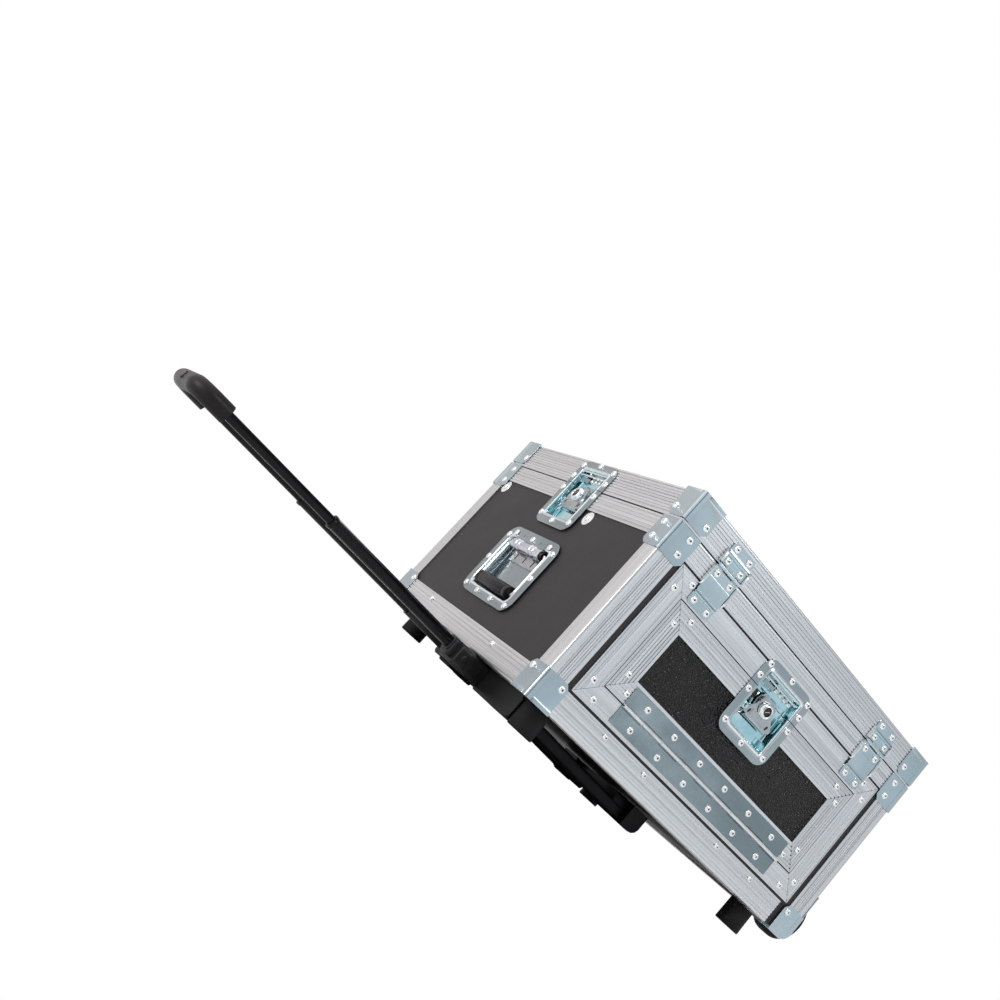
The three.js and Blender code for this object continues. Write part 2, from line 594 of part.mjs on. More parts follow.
// The bent path of the top stage: up one side, across the top, down the other.
function bowPath(x1) {
  const { x0, bend } = TOP_TUBE;
  const { half } = TROLLEY;
  const corner = (side) => new THREE.Vector3(x0, side * half, 0);
  const path = new THREE.CurvePath();
  const line = (a, b) => path.add(new THREE.LineCurve3(a, b));
  const near = [new THREE.Vector3(x0 + bend, -half, 0), new THREE.Vector3(x0, bend - half, 0)];
  const far = [new THREE.Vector3(x0, half - bend, 0), new THREE.Vector3(x0 + bend, half, 0)];
  line(new THREE.Vector3(x1, -half, 0), near[0]);
  path.add(new THREE.QuadraticBezierCurve3(near[0], corner(-1), near[1]));
  line(near[1], far[0]);
  path.add(new THREE.QuadraticBezierCurve3(far[0], corner(1), far[1]));
  line(far[1], new THREE.Vector3(x1, half, 0));
  return path;
}

function bow(x1, radius, sides) {
  const section = new THREE.Shape();
  section.absarc(0, 0, radius, 0, 2 * Math.PI);
  const options = { steps: 26, extrudePath: bowPath(x1), curveSegments: sides / 2 };
  return toSolid(new THREE.ExtrudeGeometry(section, options));
}

function buildTrolleyGrip() {
  const { x0, x1, r } = TOP_TUBE;
  const legs = bothTubes(rod('x', SLEEVE.x1 - 8, x1, [0, 0], r, 16));
  add('trolley_top_stage', slope(join(bow(SLEEVE.x1 - 6, r - 0.2, 12), ...legs)), 'gloss');

  const legRoom = bothTubes(rod('x', SLEEVE.x1 - 10, 0, [0, 0], r + 0.5, 16));
  const channel = join(bow(SLEEVE.x1 + 2, r + 0.9, 12), ...legRoom);
  const sleeve = cut(bow(SLEEVE.x1, SLEEVE.r, 16), channel);
  const { half, high, out, play, travel } = BUTTON;
  const outside = x0 - SLEEVE.r;
  const back = x0 - r - 1;
  const pocket = box(outside - 4, back, -half - play, half + play, -high - play, high + play);
  add('trolley_grip', slope(cut(sleeve, pocket)), 'rubber');

  const button = box(outside - out, back - travel - play, -half, half, -high, high);
  add('release_button', slope(button), 'plastic');
}

buildPanels();
buildBodyFrame();
buildLid();
buildBrackets();
buildWheels();
buildDoor();
buildPianoHinge();
buildLidHinges();
buildLatches();
buildHandles();
buildFeet();
buildRackRails();
buildTrolleyBase();
buildTrolleyStages();
buildTrolleyGrip();

// The origin is the middle of the overall box, on the floor.
const group = new THREE.Group();
group.add(rackCase);
const bounds = new THREE.Box3().setFromObject(rackCase, true);
const middle = bounds.getCenter(new THREE.Vector3());
rackCase.position.set(-middle.x, -middle.y, -bounds.min.z);

export default group;
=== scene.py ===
import math

import bmesh
import bpy
from mathutils import Matrix, Vector


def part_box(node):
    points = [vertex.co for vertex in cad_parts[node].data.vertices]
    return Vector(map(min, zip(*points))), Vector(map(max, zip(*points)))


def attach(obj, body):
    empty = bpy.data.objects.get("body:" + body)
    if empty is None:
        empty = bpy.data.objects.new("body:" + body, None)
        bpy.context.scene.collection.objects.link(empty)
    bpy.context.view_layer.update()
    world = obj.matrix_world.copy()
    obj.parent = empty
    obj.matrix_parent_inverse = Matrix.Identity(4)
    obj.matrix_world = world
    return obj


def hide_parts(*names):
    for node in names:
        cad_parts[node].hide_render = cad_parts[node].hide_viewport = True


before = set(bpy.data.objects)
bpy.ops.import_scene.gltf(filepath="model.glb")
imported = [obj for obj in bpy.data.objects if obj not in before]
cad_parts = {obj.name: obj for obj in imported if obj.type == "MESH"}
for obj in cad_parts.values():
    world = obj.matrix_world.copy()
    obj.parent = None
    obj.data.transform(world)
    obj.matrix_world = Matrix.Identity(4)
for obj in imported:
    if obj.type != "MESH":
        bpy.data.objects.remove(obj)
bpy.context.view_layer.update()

# ------------------------------------------------------------------ the frame
# Everything is drawn in millimetres from the lower handle-end corner on the
# door side of the case: X to the wheel end, Y to the back, Z up.
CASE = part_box("body_frame")[0]
TO_WORLD = Matrix.Translation(CASE) @ Matrix.Scale(0.001, 4)
MM = 0.001


def span(node):
    """The two far corners of a node's box, in case millimetres."""
    low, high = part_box(node)
    return (low - CASE) / MM, (high - CASE) / MM


LENGTH, DEPTH, BODY_TOP = span("body_frame")[1]
LID_LOW = span("lid_frame")[0].z
HEIGHT = span("lid_frame")[1].z
SPLIT_Z = (BODY_TOP + LID_LOW) / 2
SKIN = 1.8  # extrusion wall
PLAY = 0.3  # between pieces that touch
STEEL = 1.5  # pressed steel hardware
FLAT = PLAY + STEEL  # outside of flat hardware above the extrusions
PLY_BACK = span("left_panel")[1].x

AXES = {
    "front": ((1, 0, 0), (0, 0, 1), (0, -1, 0)),
    "rear": ((-1, 0, 0), (0, 0, 1), (0, 1, 0)),
    "left": ((0, -1, 0), (0, 0, 1), (-1, 0, 0)),
    "right": ((0, 1, 0), (0, 0, 1), (1, 0, 0)),
    "under": ((1, 0, 0), (0, -1, 0), (0, 0, -1)),
    "top": ((1, 0, 0), (0, 1, 0), (0, 0, 1)),
}


def axes_at(axes, origin):
    """A placement whose local axes point along the three given directions."""
    turn = Matrix([list(axis) for axis in axes]).transposed().to_4x4()
    return Matrix.Translation(origin) @ turn


def on_face(face, along, up):
    """Local u, v on a face of the case, w standing out of it."""
    origin = {
        "front": (along, 0, up),
        "rear": (along, DEPTH, up),
        "left": (0, along, up),
        "right": (LENGTH, along, up),
        "under": (along, up, 0),
        "top": (along, up, HEIGHT),
    }[face]
    return axes_at(AXES[face], origin)


def shift(u, v, w=0.0):
    return Matrix.Translation((u, v, w))


def lying(x=0.0, y=0.0, z=0.0):
    """A placement that lays local w along X, with local u along Y and v up."""
    return axes_at(((0, 1, 0), (0, 0, 1), (1, 0, 0)), (x, y, z))


def to_corner(end, side):
    """Carries a shape drawn at the left front corner to another corner."""
    flip = Matrix.Identity(4)
    if end == "right":
        flip = Matrix.Translation((LENGTH, 0, 0)) @ Matrix.Diagonal((-1, 1, 1, 1)) @ flip
    if side == "rear":
        flip = Matrix.Translation((0, DEPTH, 0)) @ Matrix.Diagonal((1, -1, 1, 1)) @ flip
    return flip


ENDS = ("left", "right")
BOTH_ENDS = (("left", 0, 1), ("right", LENGTH, -1))  # with x and the way inward
DOOR_AND_BACK = ((0, 1), (DEPTH, -1))  # y and the way inward
CORNERS = [(end, side) for end in ENDS for side in ("front", "rear")]


# ------------------------------------------------------------- shape building
class Shape:
    """Closed bodies gathered in case millimetres, each face with a look number."""

    def __init__(self, place=None):
        self.place = place or Matrix.Identity(4)
        self.verts = []
        self.faces = []
        self.looks = []

    def add(self, body, place=None, look=0, cap_look=None):
        verts, faces = body
        base = len(self.verts)
        matrix = self.place @ place if place else self.place
        self.verts.extend(matrix @ Vector(v) for v in verts)
        self.faces.extend(tuple(base + i for i in face) for face in faces)
        self.looks.extend([look] * len(faces))
        if cap_look is not None:
            self.looks[-1] = cap_look
        return self


def loft(loops, caps=True, closed=False):
    """A skin over loops of the same length; closed joins the last to the first."""
    count = len(loops[0])
    verts = [p for loop in loops for p in loop]
    faces = []
    turns = len(loops) if closed else len(loops) - 1
    for i in range(turns):
        n = (i + 1) % len(loops)
        for j in range(count):
            k = (j + 1) % count
            faces.append((i * count + j, i * count + k, n * count + k, n * count + j))
    if caps and not closed:
        faces.append(tuple(range(count)))
        faces.append(tuple((len(loops) - 1) * count + j for j in range(count)))
    return verts, faces


def circle(r, w, sides, start=0.0):
    turn = 2 * math.pi / sides
    return [(r * math.cos(start + i * turn), r * math.sin(start + i * turn), w) for i in range(sides)]


def lathe(profile, sides=24, closed=False):
    return loft([circle(r, w, sides) for r, w in profile], closed=closed)


def both_ends(half):
    """A profile drawn to its middle, finished with its mirror image."""
    return half + [(r, -w) for r, w in reversed(half)]


def eased_rod(r, w0, w1, ease=0.3, sides=24):
    """A round rod with eased ends."""
    return lathe([(r - ease, w0), (r, w0 + ease), (r, w1 - ease), (r - ease, w1)], sides)


def rounded(u0, u1, v0, v1, r, w, steps=5):
    """A rectangle with rounded corners at height w."""
    points = []
    corners = ((u1 - r, v1 - r, 0), (u0 + r, v1 - r, 90), (u0 + r, v0 + r, 180), (u1 - r, v0 + r, 270))
    for cu, cv, start in corners:
        for k in range(steps + 1):
            a = math.radians(start + 90 * k / steps)
            points.append((cu + r * math.cos(a), cv + r * math.sin(a), w))
    return points


def plate(outline, w0, w1):
    return loft([[(u, v, w0) for u, v in outline], [(u, v, w1) for u, v in outline]])


def block(u0, u1, v0, v1, w0, w1):
    return plate([(u0, v0), (u1, v0), (u1, v1), (u0, v1)], w0, w1)


def round_plate(u0, u1, v0, v1, r, w0, w1, edge=0.35):
    """A plate with rounded corners and eased upper edges."""
    loops = [
        rounded(u0, u1, v0, v1, r, w0),
        rounded(u0, u1, v0, v1, r, w1 - edge),
        rounded(u0 + edge, u1 - edge, v0 + edge, v1 - edge, r - edge, w1),
    ]
    return loft(loops)


def slab(outer, inner):
    """A bent sheet between two grids of points with the same rows and columns."""
    rows, columns = len(outer), len(outer[0])
    verts = [p for row in outer for p in row] + [p for row in inner for p in row]
    back = rows * columns
    faces = []
    for i in range(rows - 1):
        for j in range(columns - 1):
            a, b = i * columns + j, i * columns + j + 1
            c, d = (i + 1) * columns + j + 1, (i + 1) * columns + j
            faces.append((a, b, c, d))
            faces.append((back + d, back + c, back + b, back + a))
    for j in range(columns - 1):
        for row in (0, rows - 1):
            a, b = row * columns + j, row * columns + j + 1
            faces.append((a, b, back + b, back + a))
    for i in range(rows - 1):
        for column in (0, columns - 1):
            a, b = i * columns + column, (i + 1) * columns + column
            faces.append((a, b, back + b, back + a))
    return verts, faces


def strip(profile, thick, u0, u1):
    """A pressed strip: a (v, w) profile drawn out from u0 to u1, its back at -w."""
    inner = []
    for i, (v, w) in enumerate(profile):
        before = profile[max(i - 1, 0)]
        after = profile[min(i + 1, len(profile) - 1)]
        run = Vector((after[0] - before[0], after[1] - before[1])).normalized()
        inner.append((v + run.y * thick, w - run.x * thick))
    return slab(
        [[(u, v, w) for v, w in profile] for u in (u0, u1)],
        [[(u, v, w) for v, w in inner] for u in (u0, u1)],
    )


def sweep(path, section, caps=True, closed=False):
    """A section carried along a path of points without twist."""
    points = [Vector(p) for p in path]
    count = len(points)
    loops = []
    normal = None
    for i, p in enumerate(points):
        if closed:
            before, after = points[i - 1], points[(i + 1) % count]
        else:
            before, after = points[max(i - 1, 0)], points[min(i + 1, count - 1)]
        ahead = (after - before).normalized()
        if normal is None:
            pick = Vector((0, 0, 1)) if abs(ahead.z) < 0.9 else Vector((0, 1, 0))
            normal = pick
        normal = (normal - ahead * normal.dot(ahead)).normalized()
        across = ahead.cross(normal)
        loops.append([tuple(p + normal * a + across * b) for a, b in section])
    return loft(loops, caps=caps, closed=closed)


def tube(path, radius, sides=16, closed=False):
    section = [(x, y) for x, y, _ in circle(radius, 0, sides)]
    return sweep(path, section, closed=closed)


def arc(centre, radius, start, end, steps, plane="uv"):
    """Points on an arc, angles in degrees; plane 'uv' or 'vw'."""
    points = []
    for i in range(steps + 1):
        a = math.radians(start + (end - start) * i / steps)
        c, s = radius * math.cos(a), radius * math.sin(a)
        if plane == "uv":
            points.append((centre[0] + c, centre[1] + s, centre[2]))
        else:
            points.append((centre[0], centre[1] + c, centre[2] + s))
    return points


# ---------------------------------------------------------------- materials
def tree(name):
    material = bpy.data.materials.new(name)
    material.use_nodes = True
    nodes = material.node_tree.nodes
    return material, nodes, material.node_tree.links, nodes["Principled BSDF"]


def noise(nodes, links, scale, stretch=(1, 1, 1), detail=4.0, rough=0.55, distortion=0.0):
    coords = nodes.new("ShaderNodeTexCoord")
    mapping = nodes.new("ShaderNodeMapping")
    mapping.inputs["Scale"].default_value = stretch
    texture = nodes.new("ShaderNodeTexNoise")
    texture.inputs["Scale"].default_value = scale
    texture.inputs["Detail"].default_value = detail
    texture.inputs["Roughness"].default_value = rough
    texture.inputs["Distortion"].default_value = distortion
    links.new(coords.outputs["Object"], mapping.inputs["Vector"])
    links.new(mapping.outputs["Vector"], texture.inputs["Vector"])
    return texture


def ramp(nodes, links, source, stops):
    node = nodes.new("ShaderNodeValToRGB")
    elements = node.color_ramp.elements
    elements[0].position, elements[0].color = stops[0][0], (*stops[0][1], 1)
    elements[1].position, elements[1].color = stops[-1][0], (*stops[-1][1], 1)
    for position, color in stops[1:-1]:
        elements.new(position).color = (*color, 1)
    links.new(source, node.inputs["Fac"])
    return node


def spread(nodes, links, source, low, high):
    node = nodes.new("ShaderNodeMapRange")
    node.inputs["From Min"].default_value = 0.3
    node.inputs["From Max"].default_value = 0.7
    node.inputs["To Min"].default_value = low
    node.inputs["To Max"].default_value = high
    links.new(source, node.inputs["Value"])
    return node


def bump(nodes, links, source, strength, distance, shader):
    node = nodes.new("ShaderNodeBump")
    node.inputs["Strength"].default_value = strength
    node.inputs["Distance"].default_value = distance
    links.new(source, node.inputs["Height"])
    links.new(node.outputs["Normal"], shader.inputs["Normal"])
    return node


def metal(name, tones, rough, scale, stretch=(1, 1, 1), grain=None, relief=0.0, distortion=0.0, sheen=1.0):
    """Bare or plated metal: cloudy tones with a finer grain in the roughness."""
    material, nodes, links, shader = tree(name)
    shader.inputs["Metallic"].default_value = sheen
    cloud = noise(nodes, links, scale, stretch, distortion=distortion)
    steps = [(0.28 + 0.44 * i / (len(tones) - 1), tone) for i, tone in enumerate(tones)]
    color = ramp(nodes, links, cloud.outputs["Fac"], steps)
    links.new(color.outputs["Color"], shader.inputs["Base Color"])
    fine = noise(nodes, links, 900.0, (grain,) * 3 if grain else stretch, detail=2.0)
    gloss = spread(nodes, links, fine.outputs["Fac"], *rough)
    links.new(gloss.outputs["Result"], shader.inputs["Roughness"])
    if relief:
        bump(nodes, links, fine.outputs["Fac"], 0.35, relief, shader)
    return material


def coating(name, tones, rough, scale, relief, specular):
    """Laminate, rubber, plastic and paint: two tones with fine relief."""
    material, nodes, links, shader = tree(name)
    shader.inputs["Specular IOR Level"].default_value = specular
    cloud = noise(nodes, links, scale, detail=6.0, rough=0.65)
    steps = [(0.3 + 0.4 * i / (len(tones) - 1), tone) for i, tone in enumerate(tones)]
    color = ramp(nodes, links, cloud.outputs["Fac"], steps)
    links.new(color.outputs["Color"], shader.inputs["Base Color"])
    wide = noise(nodes, links, 18.0, detail=3.0)
    gloss = spread(nodes, links, wide.outputs["Fac"], *rough)
    links.new(gloss.outputs["Result"], shader.inputs["Roughness"])
    bump(nodes, links, cloud.outputs["Fac"], 0.5, relief, shader)
    return material


def pebbled(name):
    """The moulded pebble skin of the door panel."""
    material, nodes, links, shader = tree(name)
    coords = nodes.new("ShaderNodeTexCoord")
    cells = nodes.new("ShaderNodeTexVoronoi")
    cells.feature = "SMOOTH_F1"
    cells.inputs["Scale"].default_value = 300.0
    cells.inputs["Smoothness"].default_value = 0.35
    links.new(coords.outputs["Object"], cells.inputs["Vector"])
    stops = [(0.1, (0.009, 0.008, 0.009)), (0.7, (0.003, 0.003, 0.003))]
    color = ramp(nodes, links, cells.outputs["Distance"], stops)
    links.new(color.outputs["Color"], shader.inputs["Base Color"])
    cloud = noise(nodes, links, 60.0)
    gloss = spread(nodes, links, cloud.outputs["Fac"], 0.24, 0.36)
    links.new(gloss.outputs["Result"], shader.inputs["Roughness"])
    shader.inputs["Specular IOR Level"].default_value = 0.35
    bump(nodes, links, cells.outputs["Distance"], 1.0, -0.0036, shader)
    return material


ALONG = {"x": (0.004, 1.0, 1.0), "y": (1.0, 0.004, 1.0), "z": (1.0, 1.0, 0.004)}
ALUMINIUM_TONES = [(0.58, 0.58, 0.59), (0.72, 0.72, 0.73), (0.84, 0.84, 0.85)]
ALUMINIUM = {
    axis: metal(f"aluminium_{axis}", ALUMINIUM_TONES, (0.26, 0.38), 330.0, stretch, relief=0.00001)
    for axis, stretch in ALONG.items()
}
ZINC = metal(
    "zinc", [(0.38, 0.46, 0.50), (0.50, 0.59, 0.63), (0.64, 0.72, 0.75)], (0.15, 0.22), 5.0,
    grain=0.1, distortion=0.4,
)
DISH_ZINC = metal(
    "dish_zinc", [(0.27, 0.31, 0.33), (0.37, 0.42, 0.44), (0.49, 0.55, 0.57)], (0.15, 0.22), 5.0,
    grain=0.1, distortion=0.4,
)
PAN_ZINC = metal(
    "pan_zinc", [(0.36, 0.62, 0.68), (0.52, 0.76, 0.81), (0.70, 0.88, 0.91)], (0.10, 0.18), 28.0,
    grain=0.1, distortion=0.6,
)
ROLL_ZINC = metal("roll_zinc", [(0.60, 0.60, 0.66), (0.72, 0.72, 0.78)], (0.26, 0.38), 14.0, grain=0.2)
HINGE_STEEL = metal(
    "hinge_steel", [(0.16, 0.20, 0.22), (0.27, 0.32, 0.34), (0.48, 0.55, 0.57)], (0.14, 0.24), 7.0,
    stretch=(0.5, 1, 1), grain=0.2, distortion=0.6,
)
# Bright steel for the handle rod, latch spring, catch domes, boss and hinge pin; also a painted highlight on
# rolled lips, piano hinge barrel, lid hinge arms and keeper ridges
BRIGHT_STEEL_AND_HIGHLIGHT = metal("bright_steel_and_painted_highlight", [(0.68, 0.70, 0.71), (0.86, 0.88, 0.89)], (0.10, 0.22), 60.0)
RIVET_STEEL = metal(
    "rivet_steel", [(0.86, 0.86, 0.87), (0.97, 0.97, 0.97)], (0.14, 0.24), 300.0, sheen=0.7,
)
# Dark steel for the handle springs, screws and mitre seams; also painted shade on the floors of rivet and
# boss hollows, on slots and in the rail holes
DARK_STEEL_AND_SHADE = metal("dark_steel_and_painted_shade", [(0.035, 0.03, 0.03), (0.09, 0.075, 0.07)], (0.35, 0.55), 400.0)
GREY_STEEL = metal("grey_steel", [(0.40, 0.42, 0.43), (0.60, 0.62, 0.63)], (0.16, 0.26), 30.0)
LAMINATE = coating(
    "laminate", [(0.014, 0.012, 0.013), (0.024, 0.021, 0.023), (0.036, 0.031, 0.034)], (0.46, 0.52),
    800.0, 0.00022, specular=0.32,
)
PEBBLE = pebbled("pebble")
RUBBER = coating(
    "rubber", [(0.004, 0.004, 0.004), (0.009, 0.009, 0.009)], (0.55, 0.72), 700.0, 0.00005, specular=0.2,
)
GRIP_RUBBER = coating(
    "grip_rubber", [(0.005, 0.004, 0.004), (0.013, 0.010, 0.010)], (0.34, 0.46), 900.0, 0.00004,
    specular=0.22,
)
PLASTIC = coating(
    "plastic", [(0.006, 0.006, 0.006), (0.012, 0.012, 0.013)], (0.30, 0.44), 1100.0, 0.00004, specular=0.4,
)
TUBE_PAINT = coating(
    "tube_paint", [(0.020, 0.020, 0.022), (0.034, 0.034, 0.037)], (0.30, 0.44), 1300.0, 0.00003,
    specular=0.3,
)
GLOSS = coating(
    "gloss", [(0.002, 0.002, 0.002), (0.005, 0.005, 0.006)], (0.06, 0.10), 80.0, 0.000002, specular=0.2,
)


# ------------------------------------------------------------------- pieces
def piece(name, shape, body, looks, nodes=(), bevel=0.0, angle=32.0, segments=2):
    """Turns a gathered shape into an object that rides a body of the record."""
    mesh = bpy.data.meshes.new(name)
    mesh.from_pydata([TO_WORLD @ v for v in shape.verts], [], shape.faces)
    for material in looks:
        mesh.materials.append(material)
    for polygon, look in zip(mesh.polygons, shape.looks):
        polygon.material_index = look
    solid = bmesh.new()
    solid.from_mesh(mesh)
    bmesh.ops.recalc_face_normals(solid, faces=solid.faces)
    solid.to_mesh(mesh)
    solid.free()
    mesh.shade_smooth()
    mesh.set_sharp_from_angle(angle=math.radians(angle))
    obj = bpy.data.objects.new(name, mesh)
    bpy.context.scene.collection.objects.link(obj)
    if bevel:
        edge = obj.modifiers.new("edges", "BEVEL")
        edge.width = bevel * MM
        edge.segments = segments
        edge.limit_method = "ANGLE"
        edge.angle_limit = math.radians(angle)
        edge.harden_normals = True
    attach(obj, body)
    if nodes:
        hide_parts(*nodes)
    return obj


def keep(node, material):
    """A node whose shape is right as it is, given its finish."""
    obj = bpy.data.objects[node]
    obj.data.materials.clear()
    obj.data.materials.append(material)


for panel in ("floor_panel", "left_panel", "right_panel", "back_panel", "door_wall_panel", "lid_panel"):
    keep(panel, LAMINATE)
keep("door_panel", PEBBLE)


# ------------------------------------------------------------------- rivets
RIVET_R = 4.7


def rivet(shape, u, v, w=FLAT, r=RIVET_R, proud=2.7, place=None):
    """A dome-head pop rivet with its hollow end; looks 0 dome, 1 the floor of the hollow, painted dark as
    shade.
    """
    profile = [
        (r * 0.96, w - 0.2), (r * 1.02, w + 0.1), (r, w + proud * 0.30), (r * 0.93, w + proud * 0.55),
        (r * 0.80, w + proud * 0.77), (r * 0.62, w + proud * 0.93), (r * 0.44, w + proud),
        (r * 0.32, w + proud * 0.95), (r * 0.26, w + proud * 0.4),
    ]
    at = shift(u, v) if place is None else place @ shift(u, v)
    shape.add(lathe(profile, 16), at, cap_look=1)


# Look 1, on the floor of each rivet hollow, is painted shade
RIVET_LOOKS = [RIVET_STEEL, DARK_STEEL_AND_SHADE]


def rivet_group(name, body, at, spots, slot="zinc", **head):
    """One piece of rivet heads at (u, v) or (u, v, w) spots of a placement."""
    heads = Shape(at)
    for spot in spots:
        rivet(heads, *spot, **head)
    piece(f"rivets_{name}", heads, body, RIVET_LOOKS)


# --------------------------------------------------------- extrusion profiles
FRONT_LEG = 32.0
SIDE_LEG = 30.0
BOTTOM_LEG = 35.0
TOP_RAIL = 29.5
LEDGE = PLY_BACK + SKIN
CORNER_R = 2.6
GROOVE = {"half": 0.64, "flank": 0.30, "deep": 0.95}


def grooved(start, end, grooves, size=1.0):
    """Points along one leg from start to end with narrow grooves cut in."""
    half, flank, deep = (size * value for value in GROOVE.values())
    way = 1 if end > start else -1
    points = [(start, 0.0)]
    for middle in sorted(grooves, key=lambda g: way * g):
        for offset, depth in ((-half, 0), (-half + flank, deep), (half - flank, deep), (half, 0)):
            points.append((middle + way * offset, depth))
    points.append((end, 0.0))
    return points


def angle_profile(leg_p, leg_q, grooves_p, grooves_q):
    """An L of extrusion: outside faces at q = 0 and p = 0, rounded corner at 0, 0."""
    face_p = grooved(leg_p, CORNER_R, grooves_p)
    face_q = [(depth, q) for q, depth in grooved(CORNER_R, leg_q, grooves_q)]
    turn = [
        (CORNER_R - CORNER_R * math.sin(math.radians(a)), CORNER_R - CORNER_R * math.cos(math.radians(a)))
        for a in (22, 45, 68)
    ]
    inside = [(SKIN, leg_q), (SKIN, SKIN), (leg_p, SKIN)]
    return face_p + turn + face_q + inside


def bar(profile, start, end):
    """A profile of (p, q) drawn out along t; the ends may depend on p and q."""
    def at(limit, p, q):
        return limit(p, q) if callable(limit) else limit
    return loft([[(at(limit, p, q), p, q) for p, q in profile] for limit in (start, end)])


def evenly(first, last, count):
    return [first + (last - first) * i / (count - 1) for i in range(count)]


UPRIGHT_FRONT = evenly(11.5, 25.5, 5)
TOP_FRONT = evenly(4.4, 26.2, 6)
TOP_END = evenly(5.0, 25.5, 5)
BOTTOM_FRONT = evenly(5.0, 31.5, 7)
BOTTOM_END = evenly(5.5, 27.5, 5)
LID_FACE = evenly(4.4, 38.4, 9)
LID_TOP = evenly(5.0, 27.0, 6)


def x_axes(origin, p, q):
    return axes_at(((1, 0, 0), p, q), origin)


def y_axes(origin, p, q):
    return axes_at(((0, 1, 0), p, q), origin)


def z_axes(origin, p, q):
    return axes_at(((0, 0, 1), p, q), origin)


def to_other_end(length):
    """Ends of a mitred bar: each end cut back by q, the far one measured from a length."""
    return lambda p, q: q, lambda p, q: length - q


def build_uprights():
    profile = angle_profile(FRONT_LEG, SIDE_LEG, UPRIGHT_FRONT, [])
    beside_well = angle_profile(FRONT_LEG, 10.0, UPRIGHT_FRONT, [])
    well_top = span("lower_corner_right_front")[1].z
    shape = Shape()
    for end, side in CORNERS:
        base = BOTTOM_LEG if end == "left" else well_top
        at = to_corner(end, side) @ z_axes((0, 0, 0), (1, 0, 0), (0, 1, 0))
        shape.add(bar(profile, base, BODY_TOP - TOP_RAIL), at)
        if end == "right":
            shape.add(bar(beside_well, BOTTOM_LEG, base), at)
    piece("body_uprights", shape, "case", [ALUMINIUM["z"]], ["body_frame"])


def build_long_rails():
    shape = Shape()
    top = angle_profile(TOP_RAIL, LEDGE, TOP_FRONT, [])
    bottom = angle_profile(BOTTOM_LEG, SIDE_LEG, BOTTOM_FRONT, evenly(8, 26, 4))
    low_end = span("lower_corner_right_front")[0].x + 4
    near, far = to_other_end(LENGTH)
    for y, inward in DOOR_AND_BACK:
        shape.add(bar(top, near, far), x_axes((0, y, BODY_TOP), (0, 0, -1), (0, inward, 0)))
        shape.add(bar(bottom, near, low_end), x_axes((0, y, 0), (0, 0, 1), (0, inward, 0)))
    piece("body_long_rails", shape, "case", [ALUMINIUM["x"]], ["body_frame"])


def pan_gap(node, margin=3.0):
    """How far a latch pan reaches along the wall it is sunk in."""
    low, high = span(node)
    middle = (low.y + high.y) / 2
    half = LATCH["pan"] + margin
    return middle - half, middle + half


def build_end_rails():
    shape = Shape()
    profile = angle_profile(TOP_RAIL, LEDGE, TOP_END, [])
    near, far = to_other_end(DEPTH)
    for end, x, inward in BOTH_ENDS:
        at = y_axes((x, 0, BODY_TOP), (0, 0, -1), (inward, 0, 0))
        gap0, gap1 = pan_gap(f"latch_dish_{end}")
        shape.add(bar(profile, near, gap0), at)
        shape.add(bar(profile, gap1, far), at)
    bottom = angle_profile(FRONT_LEG, SIDE_LEG, BOTTOM_END, evenly(8, 26, 4))
    shape.add(bar(bottom, near, far), y_axes((0, 0, 0), (0, 0, 1), (1, 0, 0)))
    piece("body_end_rails", shape, "case", [ALUMINIUM["y"]], ["body_frame"])

    sill = Shape()
    low, high = span("wheel_end_sill")
    sill.add(bar(bottom, low.y, high.y), y_axes((LENGTH, 0, 0), (0, 0, 1), (-1, 0, 0)))
    piece("wheel_end_sill_bar", sill, "case", [ALUMINIUM["y"]], ["wheel_end_sill"])


def build_lid_rails():
    leg = HEIGHT - LID_LOW
    profile = angle_profile(leg, SIDE_LEG, LID_FACE, LID_TOP)
    near, far = to_other_end(LENGTH)
    long = Shape()
    for y, inward in DOOR_AND_BACK:
        long.add(bar(profile, near, far), x_axes((0, y, HEIGHT), (0, 0, -1), (0, inward, 0)))
    piece("lid_long_rails", long, "lid", [ALUMINIUM["x"]], ["lid_frame"])

    short = Shape()
    above = leg - LATCH["pan_up"] - 3
    over_pan = angle_profile(above, SIDE_LEG, [g for g in LID_FACE if g < above - 1], LID_TOP)
    near, far = to_other_end(DEPTH)
    for end, x, inward in BOTH_ENDS:
        at = y_axes((x, 0, HEIGHT), (0, 0, -1), (inward, 0, 0))
        gap0, gap1 = pan_gap(f"latch_dish_{end}")
        for outline, start, stop in ((profile, near, gap0), (over_pan, gap0, gap1), (profile, gap1, far)):
            short.add(bar(outline, start, stop), at)
    piece("lid_end_rails", short, "lid", [ALUMINIUM["y"]], ["lid_frame"])


# ---------------------------------------------------- door frame and surround
RIM = 30.3
DOOR_PLAY = 0.8
MITRE_GAP = 0.12


